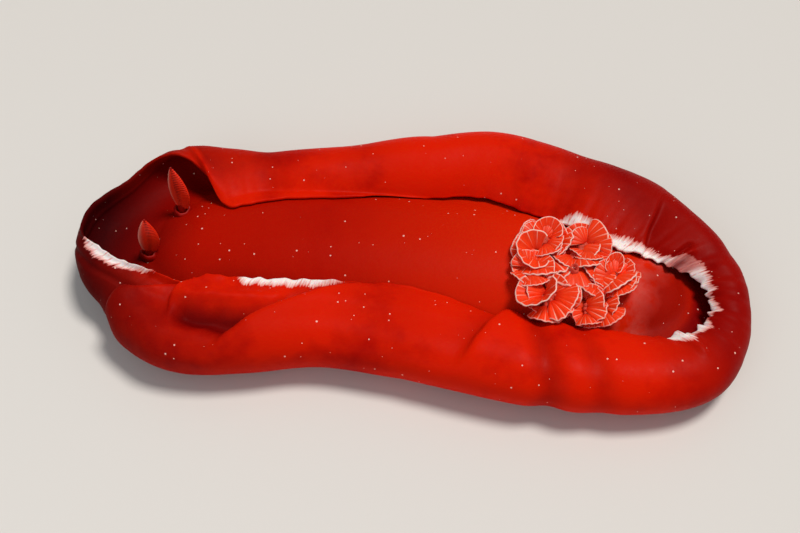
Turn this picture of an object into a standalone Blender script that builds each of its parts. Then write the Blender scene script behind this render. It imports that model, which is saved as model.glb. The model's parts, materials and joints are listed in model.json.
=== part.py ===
# Spanish dancer nudibranch: a big sea slug at rest, its wide mantle rolled up over its back.
# Sizes are in millimetres, and become metres where a mesh is made. The head points to -X, the
# tail to +X, the animal's left side to -Y, and the sole of the foot lies on the floor at z = 0.

import math

import bmesh
import bpy
import numpy as np
from mathutils import Vector

MM = 0.001
GAP = 0.3
# Over the sloping back a gap measured upright is a little more than the true one.
SEAT_GAP = 0.4

# The trunk, seen from above, is a long oval with a blunt head, on a slightly bowed axis.
TRUNK_MIDDLE = 5.0
TRUNK_HALF_LENGTH = 94.0
TRUNK_HALF_WIDTH = 27.0
TAIL_FULLNESS = 2.4
HEAD_FULLNESS = 3.0
AXIS_BOW = 5.0
AXIS_BOW_SPAN = 100.0
TRUNK_UNDERSIDE = 2.9
EDGE_HEIGHT = 9.5
BACK_HEIGHT = 20.0
BACK_ROUND = 2.2
BACK_END_POWER = 4.0
BACK_END_EASE = 0.8

FOOT_TOP = TRUNK_UNDERSIDE - GAP
FOOT_INSET = 3.0
FOOT_EDGE = 1.2

# The trunk is parted across at these places along X.
HEAD_CUT = -58.0
BACK_CUT = 12.0
TAIL_CUT = 86.0

# Stations round the mantle, by the angle round the trunk: 0 is the tail, 90 the animal's right,
# 180 the head and 270 its left. Each one says how far the mantle reaches out from the trunk, how
# wide its rolled edge is outwards and inwards, half the roll's height, how high its underside
# runs over the floor, and how many degrees the edge turns over.
STATIONS = {
    0: (22, 7, 10, 7.0, 0.6, 232),
    16: (21, 8, 20, 7.5, 0.6, 236),
    30: (22, 8, 30, 8.0, 0.6, 234),
    44: (26, 11, 37, 8.5, 0.6, 236),
    56: (27, 12, 34, 9.0, 0.6, 226),
    68: (29, 12, 26, 9.0, 0.6, 240),
    82: (30.5, 12, 20, 9.0, 0.6, 250),
    100: (17.5, 10.5, 18, 8.7, 0.6, 250),
    116: (14.5, 10, 18, 8.4, 0.6, 250),
    128: (17, 10.5, 24, 8.6, 0.6, 246),
    136: (20, 11, 26, 9.0, 0.8, 240),
    141: (21, 11, 14, 9.5, 1.2, 172),
    147: (20.5, 11.5, 8, 10.0, 2.4, 138),
    155: (19, 12, 8, 10.0, 3.4, 116),
    166: (18.5, 12, 8, 9.5, 4.0, 104),
    180: (25.5, 13, 8, 9.5, 4.0, 112),
    194: (24.5, 11, 14, 9.5, 4.0, 172),
    206: (24, 11, 24, 9.5, 2.4, 196),
    220: (29, 13, 36, 9.5, 0.6, 206),
    236: (31.5, 13, 42, 10.0, 0.6, 214),
    250: (26, 12, 36, 10.0, 0.6, 220),
    262: (20, 11, 28, 10.0, 0.6, 232),
    274: (22.5, 11.5, 24, 10.0, 0.6, 250),
    290: (27.5, 13, 22, 10.0, 0.6, 255),
    310: (31, 13, 21, 9.5, 0.6, 250),
    328: (32, 12, 15, 9.0, 0.6, 232),
    345: (25.5, 9, 9, 7.5, 0.6, 222),
}
LEAN_AT_ROOT = -0.25
ROLL_SHRINK = 0.22

# Thickness of the mantle against the share of the way from the trunk to its edge.
SHARE_KNOTS = (0.0, 0.3, 0.6, 0.9, 1.0)
THICKNESS = (7.0, 4.0, 3.0, 2.2, 1.2)
ROLL_FOOT_THICKNESS = 3.6
HEAD_THICKNESS = 4.5
HEAD_THIN_SPAN = 34.0
UPRIGHT_SHARE = 0.12
BACK_CLEARANCE = 1.0
FLOOR_CLEARANCE = 0.3

# Folds where one length of the mantle lies over the next. Each runs from a foot to a head and on
# to the edge, as pairs of angle and share. Past the line the mantle stands proud and before it the
# mantle sinks, or the other way about where the fold is turned.
FOLDS = (
    {"line": ((212, 0.60), (212, 0.79), (227, 1.0)), "sink": 2.6, "proud": 1.6, "fade": 15.0},
    {"line": ((229, 0.72), (228, 0.88), (240, 1.0)), "sink": 2.2, "proud": 1.0, "fade": 10.0},
    {"line": ((243, 0.58), (248, 0.75), (258, 0.86), (268, 1.0)), "sink": 4.0, "proud": 1.6, "fade": 18.0},
    {"line": ((278, 0.60), (281, 0.73), (288, 1.0)), "sink": 3.0, "proud": 1.4, "fade": 13.0},
    {"line": ((37, 0.58), (34, 0.80), (28, 1.0)), "sink": 2.8, "proud": 1.2, "fade": 13.0},
    {"line": ((141, 0.60), (139, 1.0)), "sink": 2.2, "proud": 1.0, "fade": 9.0, "turned": True},
)
FOLD_MM_PER_DEGREE = 1.55
FOLD_STEP = 1.2
FOLD_BEGIN_SHARE = 0.05

STATION_COUNT = 84
MANTLE_LENGTHS = 14
SPREAD = 0.2
ACROSS = 14
TRUNK_ACROSS = 10

# Rhinophores: leaf-shaped feelers with pleated sides, each in a low collar.
RHINOPHORES = {
    "rhinophore_left": {"foot": (-84.5, -6.0), "lean": (-4.0, 3.5), "turn": 8.0},
    "rhinophore_right": {"foot": (-80.5, 12.5), "lean": (-3.0, 6.0), "turn": -6.0},
}
RHINOPHORE_HEIGHT = 18.0
RHINOPHORE_WIDE = 3.4
RHINOPHORE_THIN = 2.2
RHINOPHORE_BEND = 1.5
RHINOPHORE_TIP = 0.3
COLLAR_RADIUS = 3.4
# Below the pleated club, the share of the height, half the width and half the thickness.
RHINOPHORE_STEM = ((0.12, 3.2, 3.2), (0.14, 1.7, 1.6), (0.26, 1.5, 1.4))
CLUB_FOOT = 0.30
CLUB_TOP = 0.94
CLUB_SWELL = (0.16, 0.94)
CLUB_FULLNESS = 0.8
PLEATS = 9
PLEAT_DEPTH = 0.45

# Six gill plumes stand round the anal papilla, each in its own place on the back.
GILL_CENTRE = (60.0, -3.0)
STALK_FOOT = 2.4
# The stalk's share of the plume's height and its radius there.
STALK_RINGS = ((0.25, 1.9), (0.5, 1.6), (0.62, 0.9))
LEAF_COLUMNS = 7
LEAF_ROWS = 3
LEAF_ROOT = 0.08
LEAF_ROUND = 0.16
LEAF_PLEAT = 0.55
LEAF_WAVES = 2.0
LEAF_CURL = 0.16
LEAF_CUP = -0.22
LEAF_FOOT_THICK = 0.92
LEAF_RIM_THICK = 0.56
LEAF_TURN = 9.0
LEAF_TURN_STEP = 7.0
LEAF_OVERTOP = 1.5
LEAF_STEEPEST = 0.5
WELD = 0.006
# Each ring of leaves: how many, their tilt, where on the stalk, their size and half their spread.
LEAF_RINGS = ((3, 62.0, 0.36, 1.0, 52.0), (3, 24.0, 0.48, 0.8, 44.0))
GILLS = {
    "gill_1": {"foot": (49.0, 8.0), "height": 10.5, "radius": 5.8},
    "gill_2": {"foot": (45.5, -4.5), "height": 11.5, "radius": 5.8},
    "gill_3": {"foot": (52.5, -15.0), "height": 10.0, "radius": 5.7},
    "gill_4": {"foot": (67.5, -15.0), "height": 10.0, "radius": 5.7},
    "gill_5": {"foot": (74.5, -3.5), "height": 10.0, "radius": 5.7},
    "gill_6": {"foot": (65.0, 8.5), "height": 10.5, "radius": 5.7},
}
PAPILLA_RADIUS = 2.6
PAPILLA_HEIGHT = 6.0
# The papilla's share of its height and of its radius.
PAPILLA_RINGS = ((0.4, 0.8), (0.8, 0.62), (1.0, 0.5))

# Mouth and oral tentacles, low on the front of the head under the mantle.
MOUTH_WIDTH = 10.0
MOUTH_DEPTH = 6.0
MOUTH_BOTTOM = 0.5
MOUTH_TOP = 4.0
MOUTH_GROOVE = 1.1
MOUTH_GROOVE_WIDE = 0.12
MOUTH_SWELL = (0.12, 0.88)
FACE_GAP = 0.2
TENTACLE_LENGTH = 14.0
TENTACLE_WIDTH = 8.0
TENTACLE_FOOT = 9.8
TENTACLE_SPLAY = 10.0
TENTACLE_TOP = 3.9
TENTACLE_DROOP = 1.7
TENTACLE_ROOT_THICK = 2.4
TENTACLE_TIP_THICK = 1.1
TENTACLE_NECK = 0.75
TENTACLE_SCALLOP = 0.10
TENTACLE_ROUND = 0.30

RED = (0.62, 0.02, 0.01)
BACK_RED = (0.70, 0.03, 0.01)
GILL_RED = (0.80, 0.10, 0.05)
FOOT_RED = (0.52, 0.05, 0.04)


def clear_scene():
    for thing in list(bpy.data.objects):
        bpy.data.objects.remove(thing, do_unlink=True)


def flesh(name, colour, roughness):
    material = bpy.data.materials.new(name + "_flesh")
    material.use_nodes = True
    shader = material.node_tree.nodes["Principled BSDF"]
    shader.inputs["Base Color"].default_value = (*colour, 1.0)
    shader.inputs["Roughness"].default_value = roughness
    shader.inputs["Metallic"].default_value = 0.0
    return material


def add_body(name, points, faces, colour, roughness=0.3):
    """One closed body from points in millimetres, with its faces turned outwards."""
    mesh = bpy.data.meshes.new(name)
    mesh.from_pydata([Vector(p) * MM for p in points], [], faces)
    shape = bmesh.new()
    shape.from_mesh(mesh)
    if shape.calc_volume(signed=True) < 0:
        bmesh.ops.reverse_faces(shape, faces=shape.faces[:])
    shape.to_mesh(mesh)
    shape.free()
    mesh.materials.append(flesh(name, colour, roughness))
    thing = bpy.data.objects.new(name, mesh)
    bpy.context.collection.objects.link(thing)
    return thing


def station_angles():
    """Angles round the trunk, closer together along its sides, where a degree covers more."""
    turn = np.linspace(0.0, 2 * np.pi, STATION_COUNT, endpoint=False)
    return np.degrees(turn + SPREAD * np.sin(2 * turn))


def station_values(angles):
    """The stations' values at any angle, on a smooth curve that closes on itself."""
    knots = np.array(sorted(STATIONS), float)
    rows = np.array([STATIONS[k] for k in sorted(STATIONS)], float)
    knots = np.concatenate([knots - 360, knots, knots + 360])
    rows = np.concatenate([rows, rows, rows])
    angles = np.mod(np.asarray(angles, float), 360.0)
    i = np.searchsorted(knots, angles, side="right") - 1
    step = (knots[i + 1] - knots[i])[:, None]
    t = (angles - knots[i])[:, None] / step
    before = (rows[i + 1] - rows[i - 1]) / (knots[i + 1] - knots[i - 1])[:, None] * step
    after = (rows[i + 2] - rows[i]) / (knots[i + 2] - knots[i])[:, None] * step
    return hermite(t, rows[i], before, rows[i + 1], after)


def hermite(t, start, start_slope, end, end_slope):
    return (
        (2 * t**3 - 3 * t**2 + 1) * start
        + (t**3 - 2 * t**2 + t) * start_slope
        + (3 * t**2 - 2 * t**3) * end
        + (t**3 - t**2) * end_slope
    )


def axis_y(x):
    return AXIS_BOW * (1 - (x / AXIS_BOW_SPAN) ** 2)


def fullness(along):
    return np.where(np.asarray(along) < 0, HEAD_FULLNESS, TAIL_FULLNESS)


def trunk_edge(angles):
    """Points where the mantle leaves the trunk."""
    c = np.cos(np.radians(angles))
    s = np.sin(np.radians(angles))
    power = 2 / fullness(c)
    x = TRUNK_MIDDLE + TRUNK_HALF_LENGTH * np.sign(c) * np.abs(c) ** power
    y = axis_y(x) + TRUNK_HALF_WIDTH * np.sign(s) * np.abs(s) ** power
    return x, y


def outward(angles):
    """The way the mantle spreads, seen from above."""
    c = np.cos(np.radians(angles)) * math.sqrt(TRUNK_HALF_WIDTH / TRUNK_HALF_LENGTH)
    s = np.sin(np.radians(angles))
    length = np.hypot(c, s)
    return c / length, s / length


def back_height(x, y):
    """Height of the back, which falls to the edge height all round."""
    along = np.clip(np.abs(x - TRUNK_MIDDLE) / TRUNK_HALF_LENGTH, 0, 1)
    power = fullness(x - TRUNK_MIDDLE)
    half = TRUNK_HALF_WIDTH * (1 - along**power) ** (1 / power) + 1e-6
    across = np.clip(np.abs(y - axis_y(x)) / half, 0, 1)
    ends = (1 - along**BACK_END_POWER) ** BACK_END_EASE
    return EDGE_HEIGHT + (BACK_HEIGHT - EDGE_HEIGHT) * ends * (1 - across**BACK_ROUND)


def thickness(angles, shares):
    plain = np.interp(shares, SHARE_KNOTS, THICKNESS)[None, :]
    head = np.exp(-(((np.asarray(angles)[:, None] - 180) / HEAD_THIN_SPAN) ** 2))
    near_trunk = np.clip(1 - shares / SHARE_KNOTS[1], 0, 1)[None, :]
    return plain - (THICKNESS[0] - HEAD_THICKNESS) * head * near_trunk


def profile(values, root_thickness, shares):
    """The mantle's middle line at one station: a slope down, then the rolled edge."""
    reach, wide, inner, half_height, under, turn = values
    slope_run = reach - wide
    start = EDGE_HEIGHT - root_thickness / 2
    foot = under + ROLL_FOOT_THICKNESS / 2
    t = np.linspace(0, 1, 40)
    slope = np.stack([slope_run * t, hermite(t, start, LEAN_AT_ROOT * slope_run, foot, 0.0)], -1)
    degrees = np.linspace(0, turn, 90)[1:]
    angle = np.radians(degrees)
    shrink = 1 - ROLL_SHRINK * np.clip((degrees - 120) / 150, 0, 1)
    side = np.where(degrees < 180, wide, inner)
    roll_out = slope_run + side * shrink * np.sin(angle)
    roll_up = foot + half_height - half_height * shrink * np.cos(angle)
    line = np.concatenate([slope, np.stack([roll_out, roll_up], -1)])
    run = np.concatenate([[0], np.cumsum(np.hypot(*np.diff(line, axis=0).T))])
    at = np.asarray(shares) * run[-1]
    return np.interp(at, run, line[:, 0]), np.interp(at, run, line[:, 1])


def above_back(points, thick):
    """Keeps the rolled edge, past the top of its roll, clear of the back that it lies over."""
    x, y, z = np.moveaxis(points, -1, 0)
    past_top = np.arange(z.shape[1])[None, :] > np.argmax(z, axis=1)[:, None]
    lowest = back_height(x, y) + BACK_CLEARANCE + thick / 2
    eased = lowest + np.logaddexp(0, (z - lowest) / BACK_CLEARANCE) * BACK_CLEARANCE
    return np.stack([x, y, np.where(past_top, eased, z)], -1)


def mantle_middle(angles, shares):
    values = station_values(angles)
    thick = thickness(angles, shares)
    x, y = trunk_edge(angles)
    out_x, out_y = outward(angles)
    lines = [profile(v, t, shares) for v, t in zip(values, thick[:, 0])]
    run = np.array([line[0] for line in lines])
    height = np.array([line[1] for line in lines])
    points = np.stack([x[:, None] + out_x[:, None] * run, y[:, None] + out_y[:, None] * run, height], -1)
    return above_back(points, thick)


def fold_lift(angles, shares, fold):
    """How far a fold sinks or raises the mantle at each angle and share."""
    line = np.array(fold["line"], float)
    at = np.interp(shares, line[:, 1], line[:, 0])[None, :]
    past = ((np.asarray(angles)[:, None] - at + 180) % 360 - 180) * FOLD_MM_PER_DEGREE
    past = -past if fold.get("turned") else past
    begun = 1 / (1 + np.exp(-(np.asarray(shares)[None, :] - line[0, 1]) / FOLD_BEGIN_SHARE))
    high = 0.5 * (1 + np.tanh(past / FOLD_STEP))
    proud = fold["proud"] * high * np.exp(-np.abs(past) / (0.6 * fold["fade"]))
    sunk = fold["sink"] * (1 - high) * np.exp(-np.abs(past) / fold["fade"])
    return begun * (proud - sunk)


def mantle_sides(angles, shares):
    """Upper and lower faces of the mantle, as grids of points."""
    small = 0.01
    small_turn = 0.5
    middle = mantle_middle(angles, shares)
    along = mantle_middle(angles + small_turn, shares) - mantle_middle(angles - small_turn, shares)
    across = mantle_middle(angles, np.clip(shares + small, 0, 1))
    across = across - mantle_middle(angles, np.clip(shares - small, 0, 1))
    normal = np.cross(across, along)
    normal /= np.linalg.norm(normal, axis=-1, keepdims=True)
    normal *= np.sign(normal[:, :1, 2:3])
    upright = np.clip(1 - shares / UPRIGHT_SHARE, 0, 1)[None, :, None]
    normal = normal * (1 - upright) + np.array([0.0, 0.0, 1.0]) * upright
    normal /= np.linalg.norm(normal, axis=-1, keepdims=True)
    thick = thickness(angles, shares)
    for fold in FOLDS:
        middle = middle - normal * fold_lift(angles, shares, fold)[..., None]
    middle = above_back(middle, thick)
    upper = middle + normal * thick[..., None] / 2
    lower = middle - normal * thick[..., None] / 2
    lower[..., 2] = np.maximum(lower[..., 2], FLOOR_CLEARANCE)
    return upper, lower


def closed_sheet(name, upper, lower, colour, roughness=0.3):
    """A sheet with two alike faces and walls all round, split into triangles the same way."""
    rows, columns = upper.shape[:2]
    points = np.concatenate([upper.reshape(-1, 3), lower.reshape(-1, 3)])
    other = rows * columns

    def at(i, j):
        return i * columns + j

    faces = []
    for i in range(rows - 1):
        for j in range(columns - 1):
            a, b, c, d = at(i, j), at(i + 1, j), at(i + 1, j + 1), at(i, j + 1)
            faces += [(a, b, c), (a, c, d)]
            faces += [(c + other, b + other, a + other), (d + other, c + other, a + other)]
    rim = [at(i, 0) for i in range(rows)]
    rim += [at(rows - 1, j) for j in range(1, columns)]
    rim += [at(i, columns - 1) for i in range(rows - 2, -1, -1)]
    rim += [at(0, j) for j in range(columns - 2, 0, -1)]
    for a, b in zip(rim, rim[1:] + rim[:1]):
        if a < b:
            faces += [(b, a, b + other), (a, a + other, b + other)]
        else:
            faces += [(b, a, a + other), (b, a + other, b + other)]
    return add_body(name, points.tolist(), faces, colour, roughness)


def mantle():
    """The mantle, parted into lengths with thin cuts."""
    angles = station_angles()
    per_length = STATION_COUNT // MANTLE_LENGTHS
    shares = np.linspace(0, 1, ACROSS + 1)
    half = MANTLE_LENGTHS // 2
    for length in range(MANTLE_LENGTHS):
        first = length * per_length - per_length // 2
        here = np.array([angles[k % STATION_COUNT] for k in range(first, first + per_length + 1)])
        here = np.degrees(np.unwrap(np.radians(here)))
        here[0] += cut_angle(here[0])
        here[-1] -= cut_angle(here[-1])
        if length == 0:
            name = "mantle_tail"
        elif length == half:
            name = "mantle_front"
        elif length < half:
            name = f"mantle_right_{length}"
        else:
            name = f"mantle_left_{MANTLE_LENGTHS - length}"
        upper, lower = mantle_sides(here, shares)
        closed_sheet(name, upper, lower, RED)


def cut_angle(angle):
    """Half the gap between two lengths, as an angle at the trunk's edge."""
    cut = 0.1
    for _ in range(12):
        x, y = trunk_edge(np.array([angle - cut, angle + cut]))
        cut *= GAP / math.hypot(x[1] - x[0], y[1] - y[0])
    return cut


def trunk_rows(inset):
    """Cross lines of the trunk from tail to head: x, and the two ends in y."""
    angles = station_angles()[: STATION_COUNT // 2 + 1]
    angles[-1] = 180.0
    x, right = trunk_edge(angles)
    _, left = trunk_edge(-angles)
    out_x, out_y = outward(angles)
    return x - inset * out_x, right - inset * out_y, left + inset * out_y


def trunk():
    """The head, back and tail: one low hump parted across with thin cuts."""
    x, right, left = trunk_rows(GAP)
    parts = (
        ("tail", x[0], TAIL_CUT),
        ("back_rear", TAIL_CUT, BACK_CUT),
        ("back_front", BACK_CUT, HEAD_CUT),
        ("head", HEAD_CUT, x[-1]),
    )
    for name, rear, front in parts:
        rear_x = rear - GAP / 2 if rear < x[0] else rear
        front_x = front + GAP / 2 if front > x[-1] else front
        inner = x[(x < rear_x - 1) & (x > front_x + 1)]
        rows = np.concatenate([[rear_x], inner, [front_x]])
        ends = [np.interp(-rows, -x, side) for side in (right, left)]
        trunk_block(name, rows, *ends)


def trunk_block(name, rows, right, left):
    across = np.linspace(0, 1, TRUNK_ACROSS + 1)
    spread = 0.5 - 0.5 * np.cos(np.pi * across)
    upper = np.zeros((len(rows), len(across), 3))
    upper[..., 0] = rows[:, None]
    upper[..., 1] = left[:, None] + (right - left)[:, None] * spread
    upper[..., 2] = back_height(upper[..., 0], upper[..., 1])
    upper[:, 0, 2] = EDGE_HEIGHT
    upper[:, -1, 2] = EDGE_HEIGHT
    lower = upper.copy()
    lower[..., 2] = TRUNK_UNDERSIDE
    closed_sheet(name, upper, lower, BACK_RED)


def foot():
    """A flat sole with soft edges, a little narrower than the trunk."""
    layers = ((0.0, FOOT_INSET + FOOT_EDGE), (FOOT_EDGE, FOOT_INSET), (FOOT_TOP, FOOT_INSET + 0.4))
    points = []
    faces = []
    outlines = []
    for height, inset in layers:
        x, right, left = trunk_rows(inset)
        ring = [(x[0], 0.5 * (right[0] + left[0]))]
        ring += list(zip(x[1:-1], right[1:-1]))
        ring += [(x[-1], 0.5 * (right[-1] + left[-1]))]
        ring += list(zip(x[-2:0:-1], left[-2:0:-1]))
        outlines.append(range(len(points), len(points) + len(ring)))
        points += [(px, py, height) for px, py in ring]
    count = len(outlines[0])
    for low, high in zip(outlines, outlines[1:]):
        for k in range(count):
            n = (k + 1) % count
            faces += [(low[k], high[n], low[n]), (low[k], high[k], high[n])]
    for outline, flip in ((outlines[0], False), (outlines[-1], True)):
        for k in range(count // 2):
            a, b = outline[k], outline[k + 1]
            c, d = outline[-k - 1] if k + 1 < count // 2 else None, outline[-k] if k else None
            for face in strip_faces(a, b, c, d):
                faces.append(face[::-1] if flip else face)
    add_body("foot", points, faces, FOOT_RED)


def strip_faces(a, b, c, d):
    """Faces between two neighbouring cross lines of an outline, where an end line is a point."""
    if d is None:
        return [(a, b, c)]
    if c is None:
        return [(a, b, d)]
    return [(a, b, c), (a, c, d)]


def loft(name, seat, rings, colour, roughness=0.3):
    """Joins rings of equal size, closed by the seat point below and by a point on top."""
    sides = len(rings[0])
    points = [seat]
    for ring in rings:
        points += [tuple(p) for p in ring]
    points.append(tuple(np.mean(rings[-1], axis=0)))
    last = len(points) - 1
    faces = []
    for k in range(sides):
        n = (k + 1) % sides
        faces.append((0, 1 + n, 1 + k))
        top = 1 + (len(rings) - 1) * sides
        faces.append((last, top + k, top + n))
        for r in range(len(rings) - 1):
            a, b = 1 + r * sides, 1 + (r + 1) * sides
            faces += [(a + k, a + n, b + n), (a + k, b + n, b + k)]
    return add_body(name, points, faces, colour, roughness)


def seat_point(centre):
    return (*centre, float(back_height(centre[0], centre[1])) + SEAT_GAP)


def seated_ring(centre, radius, sides):
    """A ring that follows the back just above it."""
    turn = np.linspace(0, 2 * np.pi, sides, endpoint=False)
    x = centre[0] + radius * np.cos(turn)
    y = centre[1] + radius * np.sin(turn)
    return np.stack([x, y, back_height(x, y) + SEAT_GAP], -1)


def rhinophore(name, foot_at, lean, turn_degrees):
    sides = 12
    turn = np.linspace(0, 2 * np.pi, sides, endpoint=False)
    seat = seat_point(foot_at)
    base = seat[2]
    twist = math.radians(turn_degrees)
    rings = [seated_ring(foot_at, COLLAR_RADIUS, sides)]

    def ring(share, wide, thin):
        height = base + RHINOPHORE_HEIGHT * share
        middle_x = foot_at[0] + lean[0] * share**RHINOPHORE_BEND
        middle_y = foot_at[1] + lean[1] * share**RHINOPHORE_BEND
        along = wide * np.cos(turn)
        across = thin * np.sin(turn)
        x = middle_x + along * math.cos(twist) - across * math.sin(twist)
        y = middle_y + along * math.sin(twist) + across * math.cos(twist)
        return np.stack([x, y, np.full(sides, height)], -1)

    rings += [ring(*sizes) for sizes in RHINOPHORE_STEM]
    steps = 2 * PLEATS + 1
    for k, phase in enumerate(np.linspace(*CLUB_SWELL, steps)):
        share = CLUB_FOOT + (CLUB_TOP - CLUB_FOOT) * k / (steps - 1)
        swell = math.sin(math.pi * phase) ** CLUB_FULLNESS
        notch = PLEAT_DEPTH if k % 2 == 0 else 0.0
        rings.append(ring(share, RHINOPHORE_WIDE * swell - notch, RHINOPHORE_THIN * swell - notch))
    rings.append(ring(1.0, RHINOPHORE_TIP, RHINOPHORE_TIP))
    loft(name, seat, rings, RED, 0.25)


def gill_leaf(root, azimuth, tilt, size, spread):
    """One fan-shaped leaf with a pleated, curled rim, as two alike grids of points."""
    around = np.radians(np.linspace(-spread, spread, LEAF_COLUMNS))[None, :]
    out = np.linspace(LEAF_ROOT, 1.0, LEAF_ROWS)[:, None]
    swing = np.abs(around / around.max())
    reach = size * out * (1 - LEAF_ROUND * swing**2)
    side = reach * np.sin(around)
    rise = reach * np.cos(around)
    pleat = LEAF_PLEAT * out * np.cos(LEAF_WAVES * np.pi * around / around.max())
    curl = LEAF_CURL * size * out**2 + LEAF_CUP * size * out * swing**2 + pleat
    tip = math.radians(tilt)
    away = rise * math.sin(tip) + (curl * math.cos(tip))
    up = rise * math.cos(tip) - (curl * math.sin(tip))
    turn = math.radians(azimuth)
    grid = np.zeros((out.shape[0], around.shape[1], 3))
    grid[..., 0] = root[0] + away * math.cos(turn) - side * math.sin(turn)
    grid[..., 1] = root[1] + away * math.sin(turn) + side * math.cos(turn)
    grid[..., 2] = root[2] + up
    down, right = np.gradient(grid, axis=0), np.gradient(grid, axis=1)
    normals = np.cross(down, right)
    normals /= np.linalg.norm(normals, axis=-1, keepdims=True)
    thick = LEAF_FOOT_THICK + (LEAF_RIM_THICK - LEAF_FOOT_THICK) * out * np.ones_like(swing)
    half = normals * thick[..., None] / 2
    return grid + half, grid - half


def gill(name, foot_at, height, radius):
    """A gill plume: a stalk with a ring of spreading leaves and a ring of upright ones."""
    seat = seat_point(foot_at)
    sides = 8
    turn = np.linspace(0, 2 * np.pi, sides, endpoint=False)
    rings = [seated_ring(foot_at, STALK_FOOT, sides)]
    for share, wide in STALK_RINGS:
        x = foot_at[0] + wide * np.cos(turn)
        y = foot_at[1] + wide * np.sin(turn)
        rings.append(np.stack([x, y, np.full(sides, seat[2] + height * share)], -1))
    stalk = loft(name, seat, rings, GILL_RED, 0.3)
    facing = math.degrees(math.atan2(foot_at[1] - GILL_CENTRE[1], foot_at[0] - GILL_CENTRE[0]))
    leaves = []
    for ring, (count, tilt, share, size, spread) in enumerate(LEAF_RINGS):
        sideways = max(math.sin(math.radians(tilt)), LEAF_STEEPEST)
        upwards = max(math.cos(math.radians(tilt)), LEAF_STEEPEST)
        root = (foot_at[0], foot_at[1], seat[2] + height * share)
        reach = min(radius * size / sideways, height * (1 - share) / upwards + LEAF_OVERTOP)
        for k in range(count):
            uneven = LEAF_TURN * math.sin(LEAF_TURN_STEP * k + facing)
            azimuth = facing + 360 * (k + 0.5 * ring) / count + uneven
            sides_of_leaf = gill_leaf(root, azimuth, tilt, reach, spread)
            leaves.append(closed_sheet(f"{name}_leaf_{ring}_{k}", *sides_of_leaf, GILL_RED))
    fuse(stalk, leaves)


def fuse(body, pieces):
    """Joins the pieces to the body by one union and keeps only its largest closed surface."""
    group = bpy.data.collections.new(body.name + "_pieces")
    for piece in pieces:
        group.objects.link(piece)
        bpy.context.collection.objects.unlink(piece)
    union = body.modifiers.new("union", "BOOLEAN")
    union.operation = "UNION"
    union.operand_type = "COLLECTION"
    union.collection = group
    union.solver = "MANIFOLD"
    scene_view = bpy.context.evaluated_depsgraph_get()
    joined = bpy.data.meshes.new_from_object(body.evaluated_get(scene_view))
    body.modifiers.clear()
    body.data = joined
    for piece in pieces:
        bpy.data.objects.remove(piece, do_unlink=True)
    bpy.data.collections.remove(group)
    keep_largest(joined)


def keep_largest(mesh):
    """Drops every surface of the mesh but the one with the most points."""
    shape = bmesh.new()
    shape.from_mesh(mesh)
    bmesh.ops.remove_doubles(shape, verts=shape.verts[:], dist=WELD * MM)
    bmesh.ops.triangulate(shape, faces=shape.faces[:])
    unseen = set(shape.verts)
    groups = []
    while unseen:
        start = unseen.pop()
        group, fresh = {start}, [start]
        while fresh:
            for edge in fresh.pop().link_edges:
                for v in edge.verts:
                    if v in unseen:
                        unseen.discard(v)
                        group.add(v)
                        fresh.append(v)
        groups.append(group)
    largest = max(groups, key=len)
    extra = [v for v in shape.verts if v not in largest]
    bmesh.ops.delete(shape, geom=extra, context="VERTS")
    shape.to_mesh(mesh)
    shape.free()


def papilla():
    sides = 12
    turn = np.linspace(0, 2 * np.pi, sides, endpoint=False)
    seat = seat_point(GILL_CENTRE)
    base = seat[2]
    rings = [seated_ring(GILL_CENTRE, PAPILLA_RADIUS, sides)]
    for share, spread in PAPILLA_RINGS:
        x = GILL_CENTRE[0] + PAPILLA_RADIUS * spread * np.cos(turn)
        y = GILL_CENTRE[1] + PAPILLA_RADIUS * spread * np.sin(turn)
        rings.append(np.stack([x, y, np.full(sides, base + PAPILLA_HEIGHT * share)], -1))
    loft("anal_papilla", seat, rings, GILL_RED, 0.3)


def head_face(y):
    """How far forward the front of the head stands at each y."""
    x = np.full(np.shape(y), TRUNK_MIDDLE - TRUNK_HALF_LENGTH)
    share = np.abs(y - axis_y(x)) / TRUNK_HALF_WIDTH
    return TRUNK_MIDDLE - TRUNK_HALF_LENGTH * (1 - share**HEAD_FULLNESS) ** (1 / HEAD_FULLNESS)


def mouth():
    """The lips: a low pad on the front of the head, with the line of the mouth down its middle."""
    middle = float(axis_y(TRUNK_MIDDLE - TRUNK_HALF_LENGTH))
    across = np.linspace(-1, 1, 13)
    up = np.linspace(0, 1, 6)
    upper = np.zeros((len(up), len(across), 3))
    upper[..., 1] = middle + across * MOUTH_WIDTH / 2
    upper[..., 2] = (MOUTH_BOTTOM + (MOUTH_TOP - MOUTH_BOTTOM) * up)[:, None]
    lower = upper.copy()
    lower[..., 0] = head_face(upper[..., 1]) - FACE_GAP
    low, high = MOUTH_SWELL
    swell = np.sin(np.pi * (low + (high - low) * up))[:, None] ** 0.7
    bulge = MOUTH_DEPTH * np.sqrt(1 - 0.92 * np.abs(across) ** 3)
    groove = MOUTH_GROOVE * np.exp(-((across / MOUTH_GROOVE_WIDE) ** 2))
    upper[..., 0] = lower[..., 0] - swell * (bulge - groove)
    closed_sheet("mouth", upper, lower, FOOT_RED)


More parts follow.
